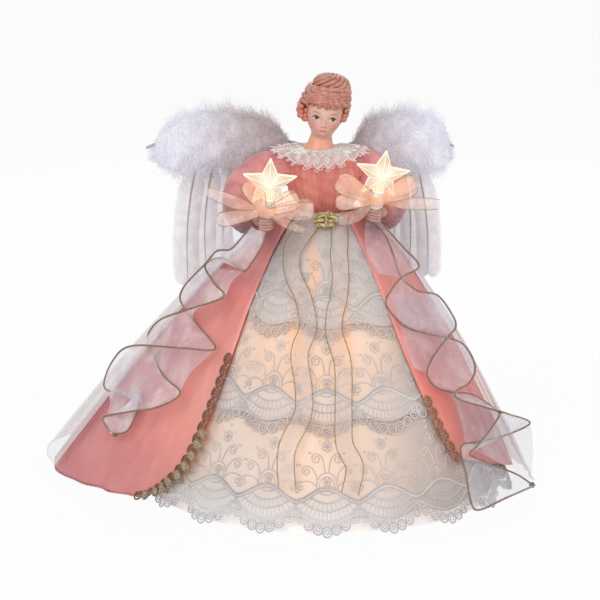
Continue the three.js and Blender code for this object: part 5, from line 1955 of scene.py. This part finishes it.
def featherLook():
    look = Look("wingFeather")
    u, v = look.cloth()
    tone = look.noise(9, 2)
    barbs = (v * (2 * math.pi / .9) + u * 3.0).sine()
    return look.finish(BaseColor=look.mix(tone.step(.35, .7), "f4f3f9", "ffffff"), Roughness=.6,
                       SheenWeight=.3, Alpha=.85 + tone * .12 + barbs * .03, Normal=look.bump(barbs, .08, .6))


def quillLook():
    look = Look("featherQuill")
    colour = look.coats(look.mix(look.axes()[2].step(195, 232), "c3b9ba", "c79f7c"),
                        (look.noise(5, 2) * .4, "a39696"))
    return look.finish(BaseColor=colour, Roughness=.4)


downCoreLook, downFilamentLook = downLook("downCore", 1.0, .07), downLook("downFilaments", .6, .12)
featherMaterial, quillMaterial = featherLook(), quillLook()


def addDown(side):
    # a full soft core round the wire under thousands of loose filaments
    rng = np.random.default_rng(wingForm["seeds"][side])
    stem = evenPath(wingStem(side), 200) + [0, 0, wingForm["downDrop"]]
    start, end = wingForm["downSpan"][side]

    def downSpot(place, turn, grow):
        swell = np.sqrt(np.clip(np.minimum((place - start) / .2, (end - place) / .14), .02, 1))
        lumps = 1 + .07 * np.sin(3 * turn + 17 * place) + .06 * np.sin(5 * turn - 29 * place)
        reach = swell * (lumps + .05 * np.sin(2 * turn + 47 * place)) * grow
        spot = np.stack([np.interp(place * 199, np.arange(200), stem[:, k]) for k in range(3)], -1)
        deep, high = np.cos(turn) * wingForm["downDeep"], np.sin(turn) * wingForm["downHigh"]
        return spot + np.stack([0 * turn, deep * reach, high * reach], -1)

    place, turn = np.meshgrid(np.linspace(start, end, 70), fullTurn(56), indexing="ij")
    core = Bundle()
    core.sheet(downSpot(place, turn, wingForm["core"]), around=True)
    core.piece(f"wingDown_{side}_core", downCoreLook, f"wing_{side}", "marabou", [f"wing_down_{side}"])
    count = wingForm["filaments"][side]
    place = rng.uniform(start, end, count)
    turn = rng.uniform(0, 2 * math.pi, count)
    root = downSpot(place, turn, .66)
    comb = np.clip(place + rng.normal(.025, .03, count), 0, 1)
    tip = downSpot(comb, turn + rng.normal(0, .4, count), rng.uniform(.85, 1.12, count))
    curl = rng.normal(0, 1.6, (count, 3)) * [1, .6, 1]
    taper = np.array(wingForm["taper"])
    shares = np.linspace(0, 1, len(taper))[None, :, None]
    spine = root[:, None] + (tip - root)[:, None] * shares + curl[:, None] * np.sin(shares * math.pi * 1.4)
    width = rng.uniform(*wingForm["strand"], count)[:, None] * taper[None]
    sideways = unit(np.cross(tip - root, rng.normal(0, 1, (count, 3))))[:, None]
    grid = np.stack([spine - sideways * width[..., None], spine + sideways * width[..., None]], 2)
    corner = np.arange(count * 2 * len(taper)).reshape(count, len(taper), 2)
    quads = np.stack([corner[:, :-1, 0], corner[:, :-1, 1], corner[:, 1:, 1], corner[:, 1:, 0]], -1)
    bundle = Bundle()
    bundle.add(grid, quads.reshape(-1, 4))
    bundle.piece(f"wingDown_{side}_filaments", downFilamentLook, f"wing_{side}", "marabou")


def pointAt(run, place, share):
    return np.array([np.interp(place, share, run[:, k]) for k in range(3)])


def addFeather(side, number):
    rng = np.random.default_rng(wingForm["featherSeeds"][side] + number * 7)
    sign = signs[side]
    rootOut, tipOut, length, half = wingForm["feathers"][side][number]
    back = wingForm["rootBack"] + wingForm["stagger"] * number
    root = np.array(wingForm["pivot"][side]) + [sign * rootOut, back, wingForm["rootRise"]]
    share = np.linspace(0, 1, 60)
    arch = np.sin(share * math.pi)
    quill = root + np.stack([sign * ((tipOut - rootOut) * share + 4 * arch), 1.5 * arch, -length * share], 1)
    tangents = unit(np.gradient(quill, axis=0))
    count = wingForm["barbs"]
    steps = np.linspace(0, 1, 5)[:, None]
    width = .55 * length / count * 1.45 * np.array([1, 1, 1, .9, .35])[:, None]
    vane = Bundle()
    for flank in (-1, 1):
        # barbs leave the quill at a slant and lock into a vane, with a few splits
        split = {int(k) for k in rng.integers(30, count - 10, wingForm["splits"])}
        lag = 0.0
        for barb in range(count):
            place = .02 + .97 * barb / (count - 1)
            lag = lag * .8 + (1.4 if barb in split else 0)
            spot, along = [pointAt(run, place, share) for run in (quill, tangents)]
            taper = min(1, place / .16) ** .6 * (1 - max(0, (place - .8) / .2) ** 2.4 * .75)
            reach = half * wingForm["flanks"][flank == sign] * taper * rng.uniform(.96, 1.03)
            way = np.array([flank * .8, 0, 0])
            path = spot + way * reach * steps + along * (reach * .85 * steps ** 1.25 - lag * steps)
            path = path + np.array([0, 1.0, 0]) * (2.4 * steps ** 2 * (reach / 13) + .05 * (barb % 2))
            flat = np.stack([np.repeat(steps * reach + 1, 2, 1), np.full((5, 2), place * length)], -1)
            vane.sheet(np.stack([path - along * width, path + along * width], 1), flat)
    name = f"{side}_{number + 1}"
    vane.piece(f"featherVane_{name}", featherMaterial, f"wing_{side}", "feather", [f"wing_feather_{name}"])
    stalk = Bundle()
    stalk.tube(quill - [0, .5, 0], np.linspace(*wingForm["quill"], len(quill)), 8)
    stalk.piece(f"featherQuill_{name}", quillMaterial, f"wing_{side}", "feather")


for wingSide in signs:
    addDown(wingSide)
    for featherNumber in range(len(wingForm["feathers"][wingSide])):
        addFeather(wingSide, featherNumber)
print("wings: down and feathers laid")


def whitePlastic():
    look = Look("whitePlastic")
    tone = look.noise(12, 3)
    foot = 1 - look.axes()[2].step(8, 18)       # lamps inside shine through the rim
    return look.finish(BaseColor=look.mix(tone.step(.35, .7), "e6e3e0", "f4f2ef"), Roughness=tone * .2 + .4,
                       EmissionColor=look.shine(foot * .3, "fff8f2"), Normal=look.bump(look.noise(2, 2), .06))


def drawnWire():
    look = Look("drawnWire")
    tone = look.noise(3, 3)
    return look.finish(BaseColor=look.mix(tone, "8f8d8b", "c5c3c0"), Metallic=.9, Roughness=tone * .25 + .25,
                       Normal=look.bump(look.noise(.8, 2), .04))


def lampGlass():
    look = Look("lampGlass")
    tone = look.noise(5, 2)
    light = look.mix(tone, "ffca73", "fff1cf")
    return look.finish(BaseColor=light, Roughness=.12 + tone * .1, CoatWeight=.5, EmissionColor=light,
                       EmissionStrength=.9)


def leadCover():
    look = Look("leadCover")
    tone = look.noise(4, 2)
    return look.finish(BaseColor=look.mix(tone, "d9d5cf", "efece7"), Roughness=.5 + tone * .1,
                       Normal=look.bump(tone, .1))


plasticLook, wireLook, glassLook, leadLook = whitePlastic(), drawnWire(), lampGlass(), leadCover()
solidLooks = {
    "skirt_cone": plasticLook, "bust_form": plasticLook, "wing_plate": plasticLook,
    "arm_wire": wireLook, "wing_wire": wireLook, "lamp_wiring": leadLook,
    "skirt_lamp_holder": holderLook, "lamp_holder": holderLook,
    "skirt_lamp_bulb": glassLook, "star_bulb": glassLook, "star_cover": starLook,
}
for nodeName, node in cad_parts.items():
    for start, material in solidLooks.items():
        if nodeName.startswith(start):
            node.data.materials.clear()
            node.data.materials.append(material)
print("solids: finished")


lightPlan = {
    "world": .40,
    "key": {"place": (-700, -1300, 1150), "size": 1.3, "watts": 13},
    "fill": {"place": (1000, -1000, 600), "size": 1.4, "watts": 6},
    "back": {"place": (200, 1300, 1100), "size": 1.6, "watts": 8},
    "aim": (0, 0, 130),
    "floorReach": 12,       # metres
    "floorWhite": .94,      # share of plain white that the camera sees on the floor
}


def addLight(name, plan):
    data = bpy.data.lights.new(name, "AREA")
    data.size = plan["size"]
    data.energy = plan["watts"]
    light = bpy.data.objects.new(name, data)
    spot = Vector(toFrame(plan["place"]))
    light.location = spot
    light.rotation_euler = (Vector(toFrame(lightPlan["aim"])) - spot).to_track_quat("-Z", "Y").to_euler()
    scene.collection.objects.link(light)


def addWorld(strength):
    world = bpy.data.worlds.new("studio")
    scene.world = world
    world.use_nodes = True
    graph = Graph(world.node_tree)
    soft = graph.node("ShaderNodeBackground", None, {"Color": "ffffff", "Strength": strength})
    white = graph.node("ShaderNodeBackground", None, {"Color": "ffffff"})
    mixed = graph.node("ShaderNodeMixShader", None, {0: graph.seen(), 1: soft, 2: white})
    graph.node("ShaderNodeOutputWorld", None, {0: mixed})


def addFloor(reach, white):
    # pale floor that shows white to the camera and keeps a soft shadow
    mesh = bpy.data.meshes.new("floor")
    corners = [(-reach, -reach, 0), (reach, -reach, 0), (reach, reach, 0), (-reach, reach, 0)]
    mesh.from_pydata(corners, [], [(0, 1, 2, 3)])
    floor = bpy.data.objects.new("floor", mesh)
    scene.collection.objects.link(floor)
    look = Look("floorPaper")
    look.finish(BaseColor=look.mix(look.noise(40, 3), "f4f2f0", "fbfaf8"), Roughness=.8)
    light = look.node("ShaderNodeEmission")
    mixed = look.node("ShaderNodeMixShader", None, {0: look.seen() * white, 1: look.surface, 2: light})
    look.feed(look.result.inputs[0], mixed)
    mesh.materials.append(look.material)


for lightName in ("key", "fill", "back"):
    addLight(lightName + "Light", lightPlan[lightName])
addWorld(lightPlan["world"])
addFloor(lightPlan["floorReach"], lightPlan["floorWhite"])
print("stage: floor and lights set")
